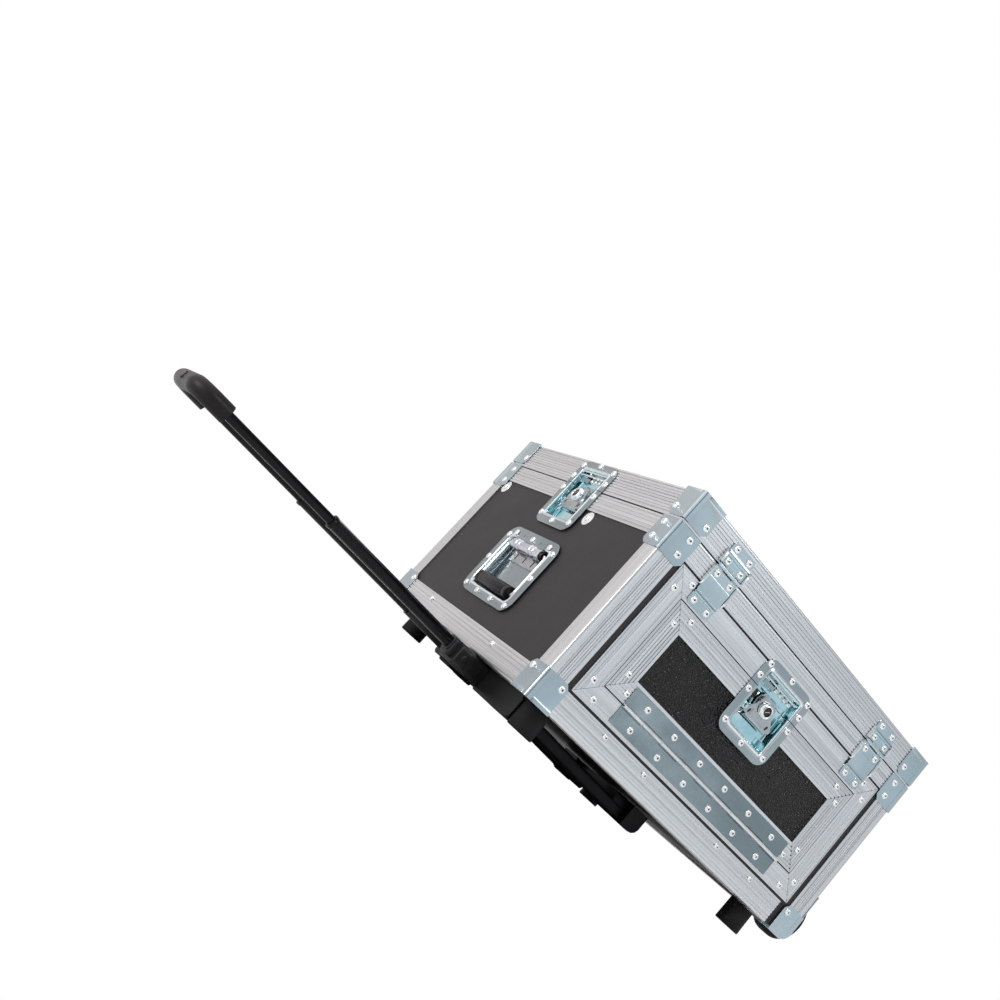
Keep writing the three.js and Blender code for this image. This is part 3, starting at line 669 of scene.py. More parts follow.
def mitred_ring(node, body, grooves, width, lip=None, size=1.0):
    """Four flat bars mitred at the corners; the top bar is parted by the latch."""
    low, high = span(node)
    latch_low, latch_high = span("latch_dish_door")
    middle = (latch_low.x + latch_high.x) / 2
    gap = LATCH["pan"] + 3
    back = [(0.0, lip), (SKIN, lip), (SKIN, SKIN)] if lip else [(0.0, SKIN)]
    profile = grooved(width, 0.0, grooves, size) + back + [(width, SKIN)]

    def mitre(start, way):
        return lambda p, q: start + way * (p + MITRE_GAP)

    across = Shape()
    down = x_axes((0, 0, high.z), (0, 0, -1), (0, 1, 0))
    across.add(bar(profile, mitre(low.x, 1), middle - gap), down)
    across.add(bar(profile, middle + gap, mitre(high.x, -1)), down)
    rise = x_axes((0, 0, low.z), (0, 0, 1), (0, 1, 0))
    across.add(bar(profile, mitre(low.x, 1), mitre(high.x, -1)), rise)
    upright = Shape()
    seams = Shape()
    seam = [(0.1, -0.16), (width - 0.1, width - 0.36), (width - 0.1, width + 0.04), (0.1, 0.36)]
    for x, inward in ((low.x, 1), (high.x, -1)):
        at = z_axes((x, 0, 0), (inward, 0, 0), (0, 1, 0))
        upright.add(bar(profile, mitre(low.z, 1), mitre(high.z, -1)), at)
        for z, way in ((low.z, 1), (high.z, -1)):
            corner = [(inward * u, way * v) for u, v in seam]
            seams.add(plate(corner, -1.5, 0.03), axes_at(AXES["front"], (x, 0, z)))
    piece(f"{node}_mitres", seams, body, [DARK_STEEL_AND_SHADE])
    piece(f"{node}_across", across, body, [ALUMINIUM["x"]], [node])
    piece(f"{node}_upright", upright, body, [ALUMINIUM["z"]], [node])


def build_door():
    width = span("door_frame")[0].x - span("door_surround")[0].x - DOOR_PLAY
    mitred_ring("door_surround", "case", (2.6, 8.0, 11.0, 24.0), width, size=0.55)
    mitred_ring("door_frame", "door", evenly(4.0, RIM - 4.5, 6), RIM, lip=PLY_BACK)


# ------------------------------------------------------------ corner brackets
BEAD = 1.1
LEAF = 39.0
CLIP = 6.5
BRACKET_FACE = FLAT - 0.5
TOE = 15.0  # rounded foot of the brackets that hold the wheels
CAP = 33.0  # side of the plate that closes a bracket at the bottom or top


def bracket_path():
    """Outside of the bracket round the left front corner, front leaf first."""
    base = BRACKET_FACE
    half = [(LEAF, -base), (LEAF - 2.0, -base), (LEAF - CLIP, -base), (8.8, -base), (7.6, -base - 0.5),
            (6.0, -base - BEAD), (1.4, -base - BEAD)]
    r = base + BEAD + 1.4
    turn = [(1.4 - r * math.sin(math.radians(a)), 1.4 - r * math.cos(math.radians(a))) for a in (20, 45, 70)]
    return half + turn + [(y, x) for x, y in reversed(half)]


def corner_sheet(z_rows, clip_low, clip_high):
    """Two leaves with a bead along the fold; rows of (z, extra height)."""
    path = bracket_path()
    last = len(z_rows) - 1
    outer, inner = [], []
    for i, (x, y) in enumerate(path):
        before, after = path[max(i - 1, 0)], path[min(i + 1, len(path) - 1)]
        run = Vector((after[0] - before[0], after[1] - before[1])).normalized()
        normal = Vector((run.y, -run.x))
        if normal.dot(Vector((x, y)) - Vector((20, 20))) < 0:
            normal = -normal
        reach = max(x, y)
        inset = max(0.0, reach - (LEAF - CLIP))
        column_out, column_in = [], []
        for j, (z, lift) in enumerate(z_rows):
            level = z
            if j == 0 and clip_low:
                level = z + inset
            if j == last and clip_high:
                level = z - inset
            out = Vector((x, y)) + normal * (lift if reach > 8.0 else 0.0)
            back = Vector((x, y)) - normal * 1.0
            column_out.append((out.x, out.y, level))
            column_in.append((back.x, back.y, level))
        outer.append(column_out)
        inner.append(column_in)
    return slab(outer, inner)


def build_brackets():
    lower_top = span("lower_corner_left_front")[1].z
    upper_low, upper_high = (corner.z for corner in span("upper_corner_left_front"))
    lid_low, lid_high = (corner.z for corner in span("lid_corner_left_front"))
    for end, side in CORNERS:
        corner = f"{end}_{side}"
        at = to_corner(end, side)
        front = at @ axes_at(AXES["front"], (0, 0, 0))
        flank = at @ axes_at(((0, 1, 0), (0, 0, 1), (-1, 0, 0)), (0, 0, 0))  # u runs back on the end face

        lower = Shape(at)
        if end == "left":
            rows = [(-FLAT, BEAD), (2.6, BEAD), (3.8, 0.6), (5.0, 0), (lower_top - CLIP, 0), (lower_top, 0)]
            lower.add(corner_sheet(rows, False, True))
            lower.add(block(-FLAT, CAP, -FLAT, CAP, -FLAT, -PLAY))
        else:
            lower.add(corner_sheet([(TOE, 0), (lower_top - CLIP, 0), (lower_top, 0)], False, True))
            curve = [(x, z) for x, z, _ in arc((TOE, TOE, 0), TOE + FLAT, 180, 270, 9)]
            sole = [(LEAF, -FLAT), (LEAF, TOE + 0.4), (-FLAT, TOE + 0.4)] + curve
            lower.add(plate(sole, PLAY, BRACKET_FACE), axes_at(AXES["front"], (0, 0, 0)))
            wheel_housing(lower)
        piece(f"corner_lower_{corner}", lower, "case", [ZINC, RUBBER], [f"lower_corner_{corner}"],
              bevel=0.35)

        upper = Shape(at)
        upper.add(corner_sheet([(upper_low, 0), (upper_low + CLIP, 0), (upper_high, 0)], True, False))
        piece(f"corner_upper_{corner}", upper, "case", [ZINC], [f"upper_corner_{corner}"], bevel=0.35)

        lid = Shape(at)
        rows = [(lid_low, 0), (lid_low + CLIP, 0), (lid_high - 6.4, 0), (lid_high - 5.2, 0.6),
                (lid_high - 4.0, BEAD), (lid_high, BEAD)]
        lid.add(corner_sheet(rows, True, False))
        lid.add(block(-FLAT, CAP, -FLAT, CAP, lid_high - STEEL, lid_high))
        piece(f"corner_lid_{corner}", lid, "lid", [ZINC], [f"lid_corner_{corner}"], bevel=0.35)

        proud = 1.9 if side == "rear" else 2.7
        for part, home, spots in (
            ("body", "case", ((30, 31), (25.5, 235), (25.5, 257))), ("lid", "lid", ((31, 282),)),
        ):
            heads = Shape()
            for place in (front, flank):
                for u, v in spots:
                    rivet(heads, u, v, BRACKET_FACE, proud=proud, place=place)
            piece(f"rivets_{part}_{corner}", heads, home, RIVET_LOOKS)


# ------------------------------------------------------------- wheel housings
WHEEL_R = 38.0
WELL_WALL = 1.4
WELL_PLAY = 3.0
WELL_HALF = 14.6  # of its inner width


def wheel_centre():
    low, high = span("wheel_front")
    return (low.x + high.x) / 2, (low.y + high.y) / 2, (low.z + high.z) / 2


def wheel_housing(shape):
    """The steel well over a wheel, drawn at the left front corner, with its axle."""
    wx, wy, wz = wheel_centre()
    x = LENGTH - wx
    r = WHEEL_R + WELL_PLAY
    y0, y1 = wy - WELL_HALF, wy + WELL_HALF
    start = math.degrees(math.acos((x + FLAT) / r))
    end = 180 + math.degrees(math.asin((wz + FLAT) / r))
    steps = 28
    outer, inner = [], []
    rim = []
    for i in range(steps + 1):
        a = math.radians(180 - start - (end - start) * i / steps)
        c, s = math.cos(a), math.sin(a)
        outer.append([(x + (r + WELL_WALL) * c, y, wz + (r + WELL_WALL) * s) for y in (y0, y1)])
        inner.append([(x + r * c, y, wz + r * s) for y in (y0, y1)])
        rim.append((x + (r + WELL_WALL) * c, wz + (r + WELL_WALL) * s))
    shape.add(slab(outer, inner))
    outline = [(max(px, -FLAT), max(pz, -FLAT)) for px, pz in rim] + [(-FLAT, -FLAT)]
    for y in (y0 - WELL_WALL, y1):
        shape.add(plate(outline, -y - WELL_WALL, -y), axes_at(AXES["front"], (0, 0, 0)))
    axle = axes_at(AXES["front"], (x, 0, wz))
    shape.add(lathe([(4, -y1), (4, -y0)], 20), axle)
    high = wz + r + 4
    shape.add(block(-FLAT, -PLAY, 0.5, y0, 15.0, high))
    shape.add(block(-FLAT, -PLAY, y1, y1 + 6.8, 15.0, high))
    shape.add(block(-FLAT, -PLAY, y0, y1, high - 5, high))


def build_wheels():
    wx, wy, wz = wheel_centre()
    half = 13.0
    tyre = both_ends([
        (15.0, -half + 1.5), (22.0, -half + 1.5), (23.0, -half), (WHEEL_R - 4, -half),
        (WHEEL_R - 1.6, -half + 1.0), (WHEEL_R - 0.4, -half + 3), (WHEEL_R, -half + 5.5),
    ])
    hub = both_ends([(4.3, -half + 0.2), (8.0, -half + 0.2), (8.6, -half + 1.6), (21.8, -half + 2.4)])
    for side, y in (("front", wy), ("rear", DEPTH - wy)):
        at = axes_at(AXES["front"], (wx, y, wz))
        shape = Shape(at).add(lathe(tyre, 64, closed=True))
        piece(f"tyre_{side}", shape, f"wheel_{side}", [RUBBER], [f"wheel_{side}"])
        centre = Shape(at)
        centre.add(lathe(hub, 40, closed=True))
        for k in range(6):
            spoke = Matrix.Rotation(math.radians(60 * k), 4, "Z")
            centre.add(block(8.0, 21.5, -1.4, 1.4, -half + 0.9, half - 0.9), spoke)
        piece(f"hub_{side}", centre, f"wheel_{side}", [PLASTIC], [f"wheel_{side}"], bevel=0.3)


# ------------------------------------------------------------------ the feet
def build_feet():
    for end, side in CORNERS:
        name = f"foot_{end}_{side}"
        low, high = span(name)
        middle = (low + high) / 2
        r = (high.x - low.x) / 2
        profile = [
            (5.0, low.z + 9), (5.2, low.z + 0.6), (6.0, low.z), (r - 1.2, low.z), (r - 0.3, low.z + 0.5),
            (r, low.z + 1.5), (r - 0.5, high.z - 1.0), (r - 1.0, high.z - 0.2), (r - 2.0, high.z),
        ]
        shape = Shape(Matrix.Translation((middle.x, middle.y, 0)))
        shape.add(lathe(profile, 48))
        piece(f"rubber_{name}", shape, "case", [RUBBER], [name])


# ------------------------------------------------------------------- latches
LATCH = {
    "half": 51.0, "up": 40.0, "down": 72.0, "corner": 17.0, "pan": 36.0, "pan_up": 26.0, "pan_down": 57.0,
    "floor": -10.8, "back": -12.0,
}
DISH_BACK_W = -11.9  # faces below this belong to the back of a dish
BOSS_V = -14.0
CAM_W = -9.0
WING_HINGE = (-2.0, -3.2)
WING_HOLE_R = 12.4
LATCH_RIVETS_UP = [(0, 36.5), (43.5, 31), (-43.5, 31), (46.0, 11.5), (-46.0, 11.5)]
LATCH_RIVETS_DOWN = [(46.0, -11), (-46.0, -11), (43.0, -58.5), (-43.0, -58.5), (0, -64.5)]


def dish_body(outside, corner, pan, floor, back, pan_corner):
    """A pressed dish: a flat flange, a rolled lip and drafted walls to a floor."""
    u, down, up = outside
    pu, pd, pp = pan

    def out_loop(inset, w):
        return rounded(-u + inset, u - inset, down + inset, up - inset, corner - inset, w, 7)

    def pan_loop(inset, w):
        return rounded(-pu + inset, pu - inset, pd + inset, pp - inset, pan_corner - inset * 0.5, w, 7)

    walls = [(3.4, floor), (2.4, floor + 0.35), (1.7, floor + 1.2), (0.8, -1.0), (0.3, 1.0)]
    lip = [(-0.5, 2.1), (-1.6, 2.6), (-2.8, 2.3), (-3.8, FLAT)]
    flange = [(1.6, FLAT), (0.5, FLAT + 0.05), (0.0, FLAT - 0.5), (0.0, PLAY)]
    rear = [(-2.0, PLAY), (-1.2, PLAY - 0.8), (-1.0, back + 1.5), (0.2, back)]
    return loft(
        [pan_loop(*step) for step in walls + lip]
        + [out_loop(*step) for step in flange]
        + [pan_loop(*step) for step in rear]
    )


def halved(body, keep_above, v=0.0, gap=0.5):
    """The part of a body above or below the joint that the latch bridges."""
    verts, faces = body
    solid = bmesh.new()
    made = [solid.verts.new(p) for p in verts]
    for face in faces:
        solid.faces.new([made[i] for i in face])
    bmesh.ops.recalc_face_normals(solid, faces=solid.faces)
    side = 1 if keep_above else -1
    result = bmesh.ops.bisect_plane(
        solid, geom=solid.verts[:] + solid.edges[:] + solid.faces[:], plane_co=(0, v + side * gap, 0),
        plane_no=(0, side, 0), clear_inner=True, clear_outer=False,
    )
    edges = [item for item in result["geom_cut"] if isinstance(item, bmesh.types.BMEdge)]
    bmesh.ops.contextual_create(solid, geom=edges)
    solid.verts.index_update()
    out = [tuple(p.co) for p in solid.verts], [tuple(p.index for p in f.verts) for f in solid.faces]
    solid.free()
    return out


def add_dish(shape, body, pan, flange_look, pan_look, lip_highlight_look=2):
    """Adds a dish with different looks for its flange, its rolled lip, which carries a painted highlight, and
    its hollow.
    """
    start = len(shape.faces)
    shape.add(body)
    verts, faces = body
    pu, pd, pp = pan
    for i, face in enumerate(faces):
        middle = sum((Vector(verts[k]) for k in face), Vector()) / len(face)
        inside = abs(middle.x) < pu + 0.4 and pd - 0.4 < middle.y < pp + 0.4 and middle.z > DISH_BACK_W
        lip = middle.z > FLAT + 0.1
        # The rolled lip takes a brighter look as a painted highlight
        shape.looks[start + i] = lip_highlight_look if lip else pan_look if inside else flange_look


def latch_mechanism(shape):
    """Fixed parts in the lower dish: spring, side strip, stops; looks 0 zinc, 1 dark, 2 bright."""
    floor = LATCH["floor"]
    spring = arc((-29, -34, floor + 4.0), 4.6, 60, 400, 16)
    shape.add(tube([(-21, -20, floor + 3)] + spring + [(-33, -44, floor + 3)], 0.9, 10), look=2)
    knuckle = [
        (2.2, floor + 2.0), (2.2, floor + 8.4), (2.8, floor + 9.0), (4.0, floor + 9.0), (4.6, floor + 8.4),
        (4.6, floor),
    ]
    shape.add(lathe(knuckle, 24), shift(-29, -27), look=0, cap_look=1)
    for u0, u1, v0, v1, r, rise, look in (
        (-34, -28.5, -30, -6, 1.2, 3.5, 2), (-35, -24, -52, -41, 2.0, 2.2, 0),
        (24, 35, -52, -43, 2.0, 2.2, 0), (28, 33, -26, -8, 1.0, 4.2, 0),
    ):
        shape.add(round_plate(u0, u1, v0, v1, r, floor - 0.2, floor + rise), look=look)
    shape.add(block(-27.5, -20.5, -12, -1.0, floor - 0.2, floor + 1.4), look=1)


def catch(shape):
    """The catch in the keeper: a riveted plate with a rolled lip over the cam."""
    floor = LATCH["floor"]
    shape.add(round_plate(-8, 31, 5, 23, 2.4, floor - 0.2, floor + 4.2))
    dome = [(3.4, 4.0), (3.4, 5.0), (2.9, 6.3), (2.0, 7.0), (1.0, 7.2)]
    for u in (-4, 6, 16, 26):
        shape.add(lathe([(r, floor + w) for r, w in dome], 18), shift(u, 14.0), look=2)
    lip = [(6.5, floor + 4.2), (4.6, floor + 4.0), (3.4, floor + 2.8), (3.2, floor + 0.5)]
    shape.add(strip(lip, 1.2, -16, 20))
    shape.add(round_plate(-33.5, -22.5, 8.6, 20, 1.5, floor - 0.2, floor + 6.0), look=0)
    # The two thin ridges in look 2 carry a painted highlight along the rolled slot; the wider plate in look 3
    # is dish zinc
    for u0, u1, v0, v1, r, top, ease, look in (
        (-33, 33, 17.0, 19.4, 1.1, 0.6, 0.6, 2), (-33, 33, 22.6, 25.4, 1.1, 1.2, 0.6, 2),
        (-31, -9, 9.5, 16.0, 1.6, -3.4, 0.5, 3),
    ):
        shape.add(round_plate(u0, u1, v0, v1, r, floor, top, ease), look=look)


def rotor_shape(shape):
    """The turning boss with its cam plate and centre screw; 0 grey, 1 dark, 2 bright."""
    v = BOSS_V
    cam = [
        (-17.5, 6), (-14.5, 14), (-9, 18.5), (9, 18.5), (14.5, 15), (17.5, 6), (15.5, -8), (9, -13),
        (-9, -13), (-15.5, -8),
    ]
    shape.add(plate(cam, CAM_W, CAM_W + 2.2), shift(0, v), look=0)
    boss = [
        (11.2, LATCH["floor"] + 0.4), (11.5, -5.4), (11.5, -0.9), (11.2, 0.9), (10.5, 2.4), (9.5, 3.7),
        (8.3, 4.6), (7.2, 4.9), (6.4, 4.6), (5.8, 3.5), (5.6, 1.6),
    ]
    # cap_look 1 paints the floor of the boss's hollow dark as shade
    shape.add(lathe(boss, 40), shift(0, v), look=2, cap_look=1)
    screw = [(4.8, 1.2), (4.8, 2.7), (4.2, 3.6), (2.8, 4.0), (1.9, 4.0), (1.6, 2.6)]
    shape.add(lathe(screw, 24), shift(0, v), look=1)
    slot = block(-3.9, 3.9, -0.6, 0.6, 3.5, 4.2)
    shape.add(slot, shift(0, v) @ Matrix.Rotation(math.radians(35), 4, "Z"), look=0)


def wing_shape(shape):
    """The folding wing: a bent triangular plate with two small slots round the boss, drawn as patches of
    painted shade.
    """
    v0, w0 = WING_HINGE
    at = shift(0, v0, w0)
    right = [(14, 1), (15.2, -8), (19, -15), (27.5, -24.5), (28.8, -27.5), (27.6, -30.3), (24.5, -31.4)]
    left = [(-u, v) for u, v in reversed(right)]
    neck = arc((0, 0, 0), WING_HOLE_R, 62, 118, 8)[0][0]
    round_boss = [(u, v + BOSS_V - v0) for u, v, _ in arc((0, 0, 0), WING_HOLE_R, 118, 422, 32)]
    shape.add(plate(round_boss + [(neck, 1)] + right + left + [(-neck, 1)], -0.9, 0.9), at)
    shape.add(strip([(-31.0, 0.9), (-33.0, 0.6), (-34.0, -0.8), (-34.0, -2.6)], 1.2, -22, 22), at)
    # Dark patches of painted shade stand for the two slots
    for u in (-19.5, 19.5):
        slot = shift(u, v0 - 26.0, w0) @ Matrix.Rotation(math.radians(-18), 4, "Z")
        shape.add(round_plate(-1.6, 1.6, -3.2, 3.2, 1.5, 0.4, 0.98, 0.05), slot, look=1)
    for u0, u1 in ((-14, -10.4), (10.4, 14)):
        shape.add(lathe([(1.8, u0), (1.8, u1)], 16), at @ lying())
    shape.add(strip([(-29.5, 1.3), (-22.0, 1.7), (-20.5, 1.2)], 0.6, -16, 16), at)


def build_latches():
    outside = (LATCH["half"], -LATCH["down"], LATCH["up"])
    pan = (LATCH["pan"], -LATCH["pan_down"], LATCH["pan_up"])
    whole = dish_body(outside, LATCH["corner"], pan, LATCH["floor"], LATCH["back"], 5.0)
    # Look 2 is bright steel, and a painted highlight on the rolled lip and the keeper ridges
    dish_looks = [PAN_ZINC, DARK_STEEL_AND_SHADE, BRIGHT_STEEL_AND_HIGHLIGHT, DISH_ZINC]
    homes = {"left": ("case", "lid"), "right": ("case", "lid"), "door": ("door", "case")}
    for name, (dish_home, keeper_home) in homes.items():
        low, high = span(f"latch_dish_{name}")
        face = "front" if name == "door" else name
        along = (low.x + high.x) / 2 if name == "door" else (low.y + high.y) / 2
        at = on_face(face, along, high.z + 0.5)
        halves = (
            ("dish", dish_home, False, latch_mechanism, LATCH_RIVETS_DOWN),
            ("keeper", keeper_home, True, catch, LATCH_RIVETS_UP),
        )
        for part, home, above, fittings, _ in halves:
            shape = Shape(at)
            add_dish(shape, halved(whole, above), pan, 3, 0)
            fittings(shape)
            piece(f"{part}_{name}", shape, home, dish_looks, [f"latch_{part}_{name}"])
        rotor = Shape(at)
        rotor_shape(rotor)
        piece(f"boss_{name}", rotor, f"latch_{name}_rotor", [GREY_STEEL, DARK_STEEL_AND_SHADE, BRIGHT_STEEL_AND_HIGHLIGHT],
              [f"latch_rotor_{name}"], bevel=0.25)
        wing = Shape(at)
        wing_shape(wing)
        piece(f"wing_{name}", wing, f"latch_{name}_wing", [GREY_STEEL, DARK_STEEL_AND_SHADE],
              [f"latch_wing_{name}"], bevel=0.3)
        for part, home, _, _, spots in halves:
            rivet_group(f"{part}_{name}", home, at, spots)


# ------------------------------------------------------------------- handles
HANDLE = {
    "half_w": 79.0, "half_h": 58.0, "corner": 21.0, "pan": 62.0, "pan_up": 41.0, "pan_down": 43.0,
    "floor": -12.8, "back": -14.0, "cover": 44.0,
}
ROD = {"u": 57.0, "top": 34.0, "bottom": -31.0, "w": -2.0, "r": 3.0, "bend": 6.0}
ROLL_R = 7.6
SPRING = {"turns": 12, "steps": 14, "r": 4.9, "pitch": 0.95, "wire": 0.55}
HANDLE_RIVETS = [(53, 47.5), (0, 47.5), (-53, 47.5), (70, 41), (-70, 41), (71, -1), (-71, -1), (67, -49),
                 (-67, -49), (23.5, -50.5), (-23.5, -50.5)]


def handle_cover(shape):
    """The rolled cover over the rod, its two stops and the plate behind it."""
    end = HANDLE["cover"]
    roll = [(ROLL_R - 1.2, -end), (ROLL_R - 0.3, -end), (ROLL_R, -end + 0.4)]
    for u in (-31, -21, 13, 23):
        roll += [
            (ROLL_R, u - 4.0), (ROLL_R + 1.0, u - 2.8), (ROLL_R + 1.5, u), (ROLL_R + 1.0, u + 2.8),
            (ROLL_R, u + 4.0),
        ]
    roll += [(ROLL_R, end - 0.4), (ROLL_R - 0.3, end), (ROLL_R - 1.2, end)]
    shape.add(lathe(roll, 36, closed=True), lying(0, ROD["top"], ROD["w"]), look=4)
    tail = [(39.6, 2.4), (40.8, 3.6), (42.4, 3.7), (44.0, 2.9), (46.0, 2.6), (51.0, 2.5)]
    shape.add(strip(tail, 0.9, -end, end))
    # The small patches in look 2, here and in the row below, stand for slots and are painted dark as shade
    for u in (-26, 26):
        shape.add(round_plate(u - 1.3, u + 1.3, 43.5, 50.0, 1.2, 2.3, 2.75, 0.05), look=2)
        shape.add(round_plate(u + 1.5, u + 3.7, 43.0, 50.0, 1.0, 2.3, 3.3), look=3)
    shape.add(round_plate(-40, 40, 11, 29, 1.5, HANDLE["floor"] - 0.2, -9.0), look=1)
    for u in (-27, -1, 25):
        shape.add(round_plate(u - 1.4, u + 1.4, 15, 25, 1.3, -9.4, -8.9, 0.05), look=2)


def handle_spring():
    """The coil round the rod at one end of its cover."""
    coils = []
    for i in range(SPRING["turns"] * SPRING["steps"] + 1):
        turns = i / SPRING["steps"]
        c, s = math.cos(2 * math.pi * turns), math.sin(2 * math.pi * turns)
        u = HANDLE["cover"] - 6.0 + SPRING["pitch"] * turns
        coils.append((u, ROD["top"] + SPRING["r"] * c, ROD["w"] + SPRING["r"] * s))
    return tube(coils, SPRING["wire"], 8)


def handle_rod():
    """The closed loop of rod with four bends."""
    u, top, bottom, w, bend = (ROD[key] for key in ("u", "top", "bottom", "w", "bend"))
    path = []
    for cu, cv, start in (
        (u - bend, top - bend, 90), (u - bend, bottom + bend, 0), (-u + bend, bottom + bend, -90),
        (-u + bend, top - bend, 180),
    ):
        path += arc((cu, cv, w), bend, start, start - 90, 6)
    return tube(path, ROD["r"], 20, closed=True)


def handle_rubber(shape):
    """The grip on the lower side of the loop, ribbed along its length."""
    half = 50.0
    at = lying(0, ROD["bottom"], ROD["w"])
    profile = both_ends([
        (4.0, -half + 1.6), (7.5, -half + 1.6), (8.2, -half), (9.2, -half), (9.9, -half + 0.7),
        (10.0, -half + 2), (10.0, -half + 9), (9.7, -half + 9.5), (10.0, -half + 10),
    ])
    shape.add(lathe(profile, 48), at)
    for k in range(6):
        rib = Matrix.Rotation(math.radians(60 * k), 4, "Z")
        shape.add(block(9.7, 10.12, -0.5, 0.5, -half + 11, half - 11), at @ rib)


def build_handles():
    outside = (HANDLE["half_w"], -HANDLE["half_h"], HANDLE["half_h"])
    pan = (HANDLE["pan"], -HANDLE["pan_down"], HANDLE["pan_up"])
    body = dish_body(outside, HANDLE["corner"], pan, HANDLE["floor"], HANDLE["back"], 8.0)
    looks = [DISH_ZINC, GREY_STEEL, DARK_STEEL_AND_SHADE, ZINC, ROLL_ZINC, BRIGHT_STEEL_AND_HIGHLIGHT]
    on_cover = [(u, v, FLAT + (0.8 if abs(u) < 60 and v > 40 else 0.0)) for u, v in HANDLE_RIVETS]
    for end in ENDS:
        low, high = span(f"handle_dish_{end}")
        at = on_face(end, (low.y + high.y) / 2, (low.z + high.z) / 2)
        dish = Shape(at)
        # Look 5 on the rolled lip is a painted highlight
        add_dish(dish, body, pan, 0, 3, 5)
        handle_cover(dish)
        piece(f"handle_pan_{end}", dish, "case", looks, [f"handle_dish_{end}"])
        rivet_group(f"handle_{end}", "case", at, on_cover)
        piece(f"handle_spring_{end}", Shape(at).add(handle_spring()), "case", [DARK_STEEL_AND_SHADE])
        node = f"handle_grip_{end}"
        piece(f"handle_rod_{end}", Shape(at).add(handle_rod()), f"handle_{end}", [BRIGHT_STEEL_AND_HIGHLIGHT], [node])
        grip = Shape(at)
        handle_rubber(grip)
        piece(f"handle_rubber_{end}", grip, f"handle_{end}", [GRIP_RUBBER], [node])


# ------------------------------------------------------------ hinges and stays
HINGE_Z = SPLIT_Z - 0.2
HINGE_W = 4.2
HINGE_R = 2.5
HINGE_HALF = 21.0


def hinge_arms(shape, outline):
    """The two arms of a leaf, outside its edges, coloured bright as a painted highlight."""
    for side in (-1, 1):
        shape.add(plate(outline, -1.2, 1.2), lying(side * (HINGE_HALF + 1.7)), look=1)


def rounded_tab(v0, v1):
    """The flat end of a hinge leaf."""
    return plate([(u, v) for u, v, _ in rounded(-HINGE_HALF, HINGE_HALF, v0, v1, 4.5, 0)], PLAY, FLAT)


def build_lid_hinges():
    for end in ENDS:
        low, high = span(f"lid_hinge_body_leaf_{end}")
        at = on_face("front", (low.x + high.x) / 2, 0)
        across = lying(0, HINGE_Z, HINGE_W)
        half = HINGE_HALF
        knuckle = half - 12.0
        body = Shape(at)
        body.add(rounded_tab(208, 224))
        body.add(strip([(219.6, 1.8), (220.4, 2.0), (220.9, 3.7), (222.3, 4.1), (223.0, 2.1), (223.9, 2.1),
                        (224.5, 4.2), (226.2, 4.4), (226.9, 3.0), (240.0, 2.9), (249.0, 3.6), (250.0, 3.4),
                        (250.6, 2.5), (261.0, 2.6), (261.8, 3.4), (262.8, 3.4)], 1.0, -half, half))
        for u0, u1 in ((-half, -knuckle - PLAY), (knuckle + PLAY, half)):
            body.add(eased_rod(HINGE_R, u0, u1), across)
            body.add(block(u0, u1, 261, HINGE_Z - 1.5, PLAY, 2.6))
        body.add(lathe([(1.3, -half - 0.8), (1.3, half + 0.8)], 16), across, look=1)
        hinge_arms(body, [(232, 0.4), (232.8, 2.6), (236, 4.4), (241, 5.4), (261.8, 5.8), (261.8, 0.4)])
        piece(f"hinge_body_{end}", body, "case", [ZINC, BRIGHT_STEEL_AND_HIGHLIGHT], [f"lid_hinge_body_leaf_{end}"],
              bevel=0.12)

        lid = Shape(at)
        top = span(f"lid_hinge_lid_leaf_{end}")[1].z
        lid.add(rounded_tab(286, top))
        lid.add(strip([(270.6, 3.4), (271.6, 3.4), (272.2, 2.6), (281.4, 2.6), (282.0, 4.4), (283.6, 4.8),
                       (284.3, 2.7), (285.2, 2.7), (285.9, 4.4), (287.4, 4.2), (288.2, 2.0), (289.2, 1.9)],
                      1.0, -half, half))
        lid.add(round_plate(-half + 3, half - 3, 279.0, 281.0, 0.9, 1.6, 2.7, 0.05), look=2)
        lid.add(eased_rod(HINGE_R, -knuckle, knuckle), across)
        lid.add(block(-knuckle, knuckle, HINGE_Z, 272, PLAY, 2.6))
        hinge_arms(lid, [(269.6, 0.4), (269.6, 5.8), (280, 5.6), (285, 4.6), (288, 2.8), (289, 0.4)])
        piece(f"hinge_lid_{end}", lid, "lid", [ZINC, BRIGHT_STEEL_AND_HIGHLIGHT, PAN_ZINC], [f"lid_hinge_lid_leaf_{end}"],
              bevel=0.12)

        for part, home, spots in (
            ("body", "case", ((214.4, FLAT), (256.4, 2.6))), ("lid", "lid", ((276.2, 2.6), (294.6, FLAT))),
        ):
            pairs = [(u, v, w) for u in (-13, 13) for v, w in spots]
            rivet_group(f"hinge_{part}_{end}", home, at, pairs)


PIANO_KNUCKLES = 9


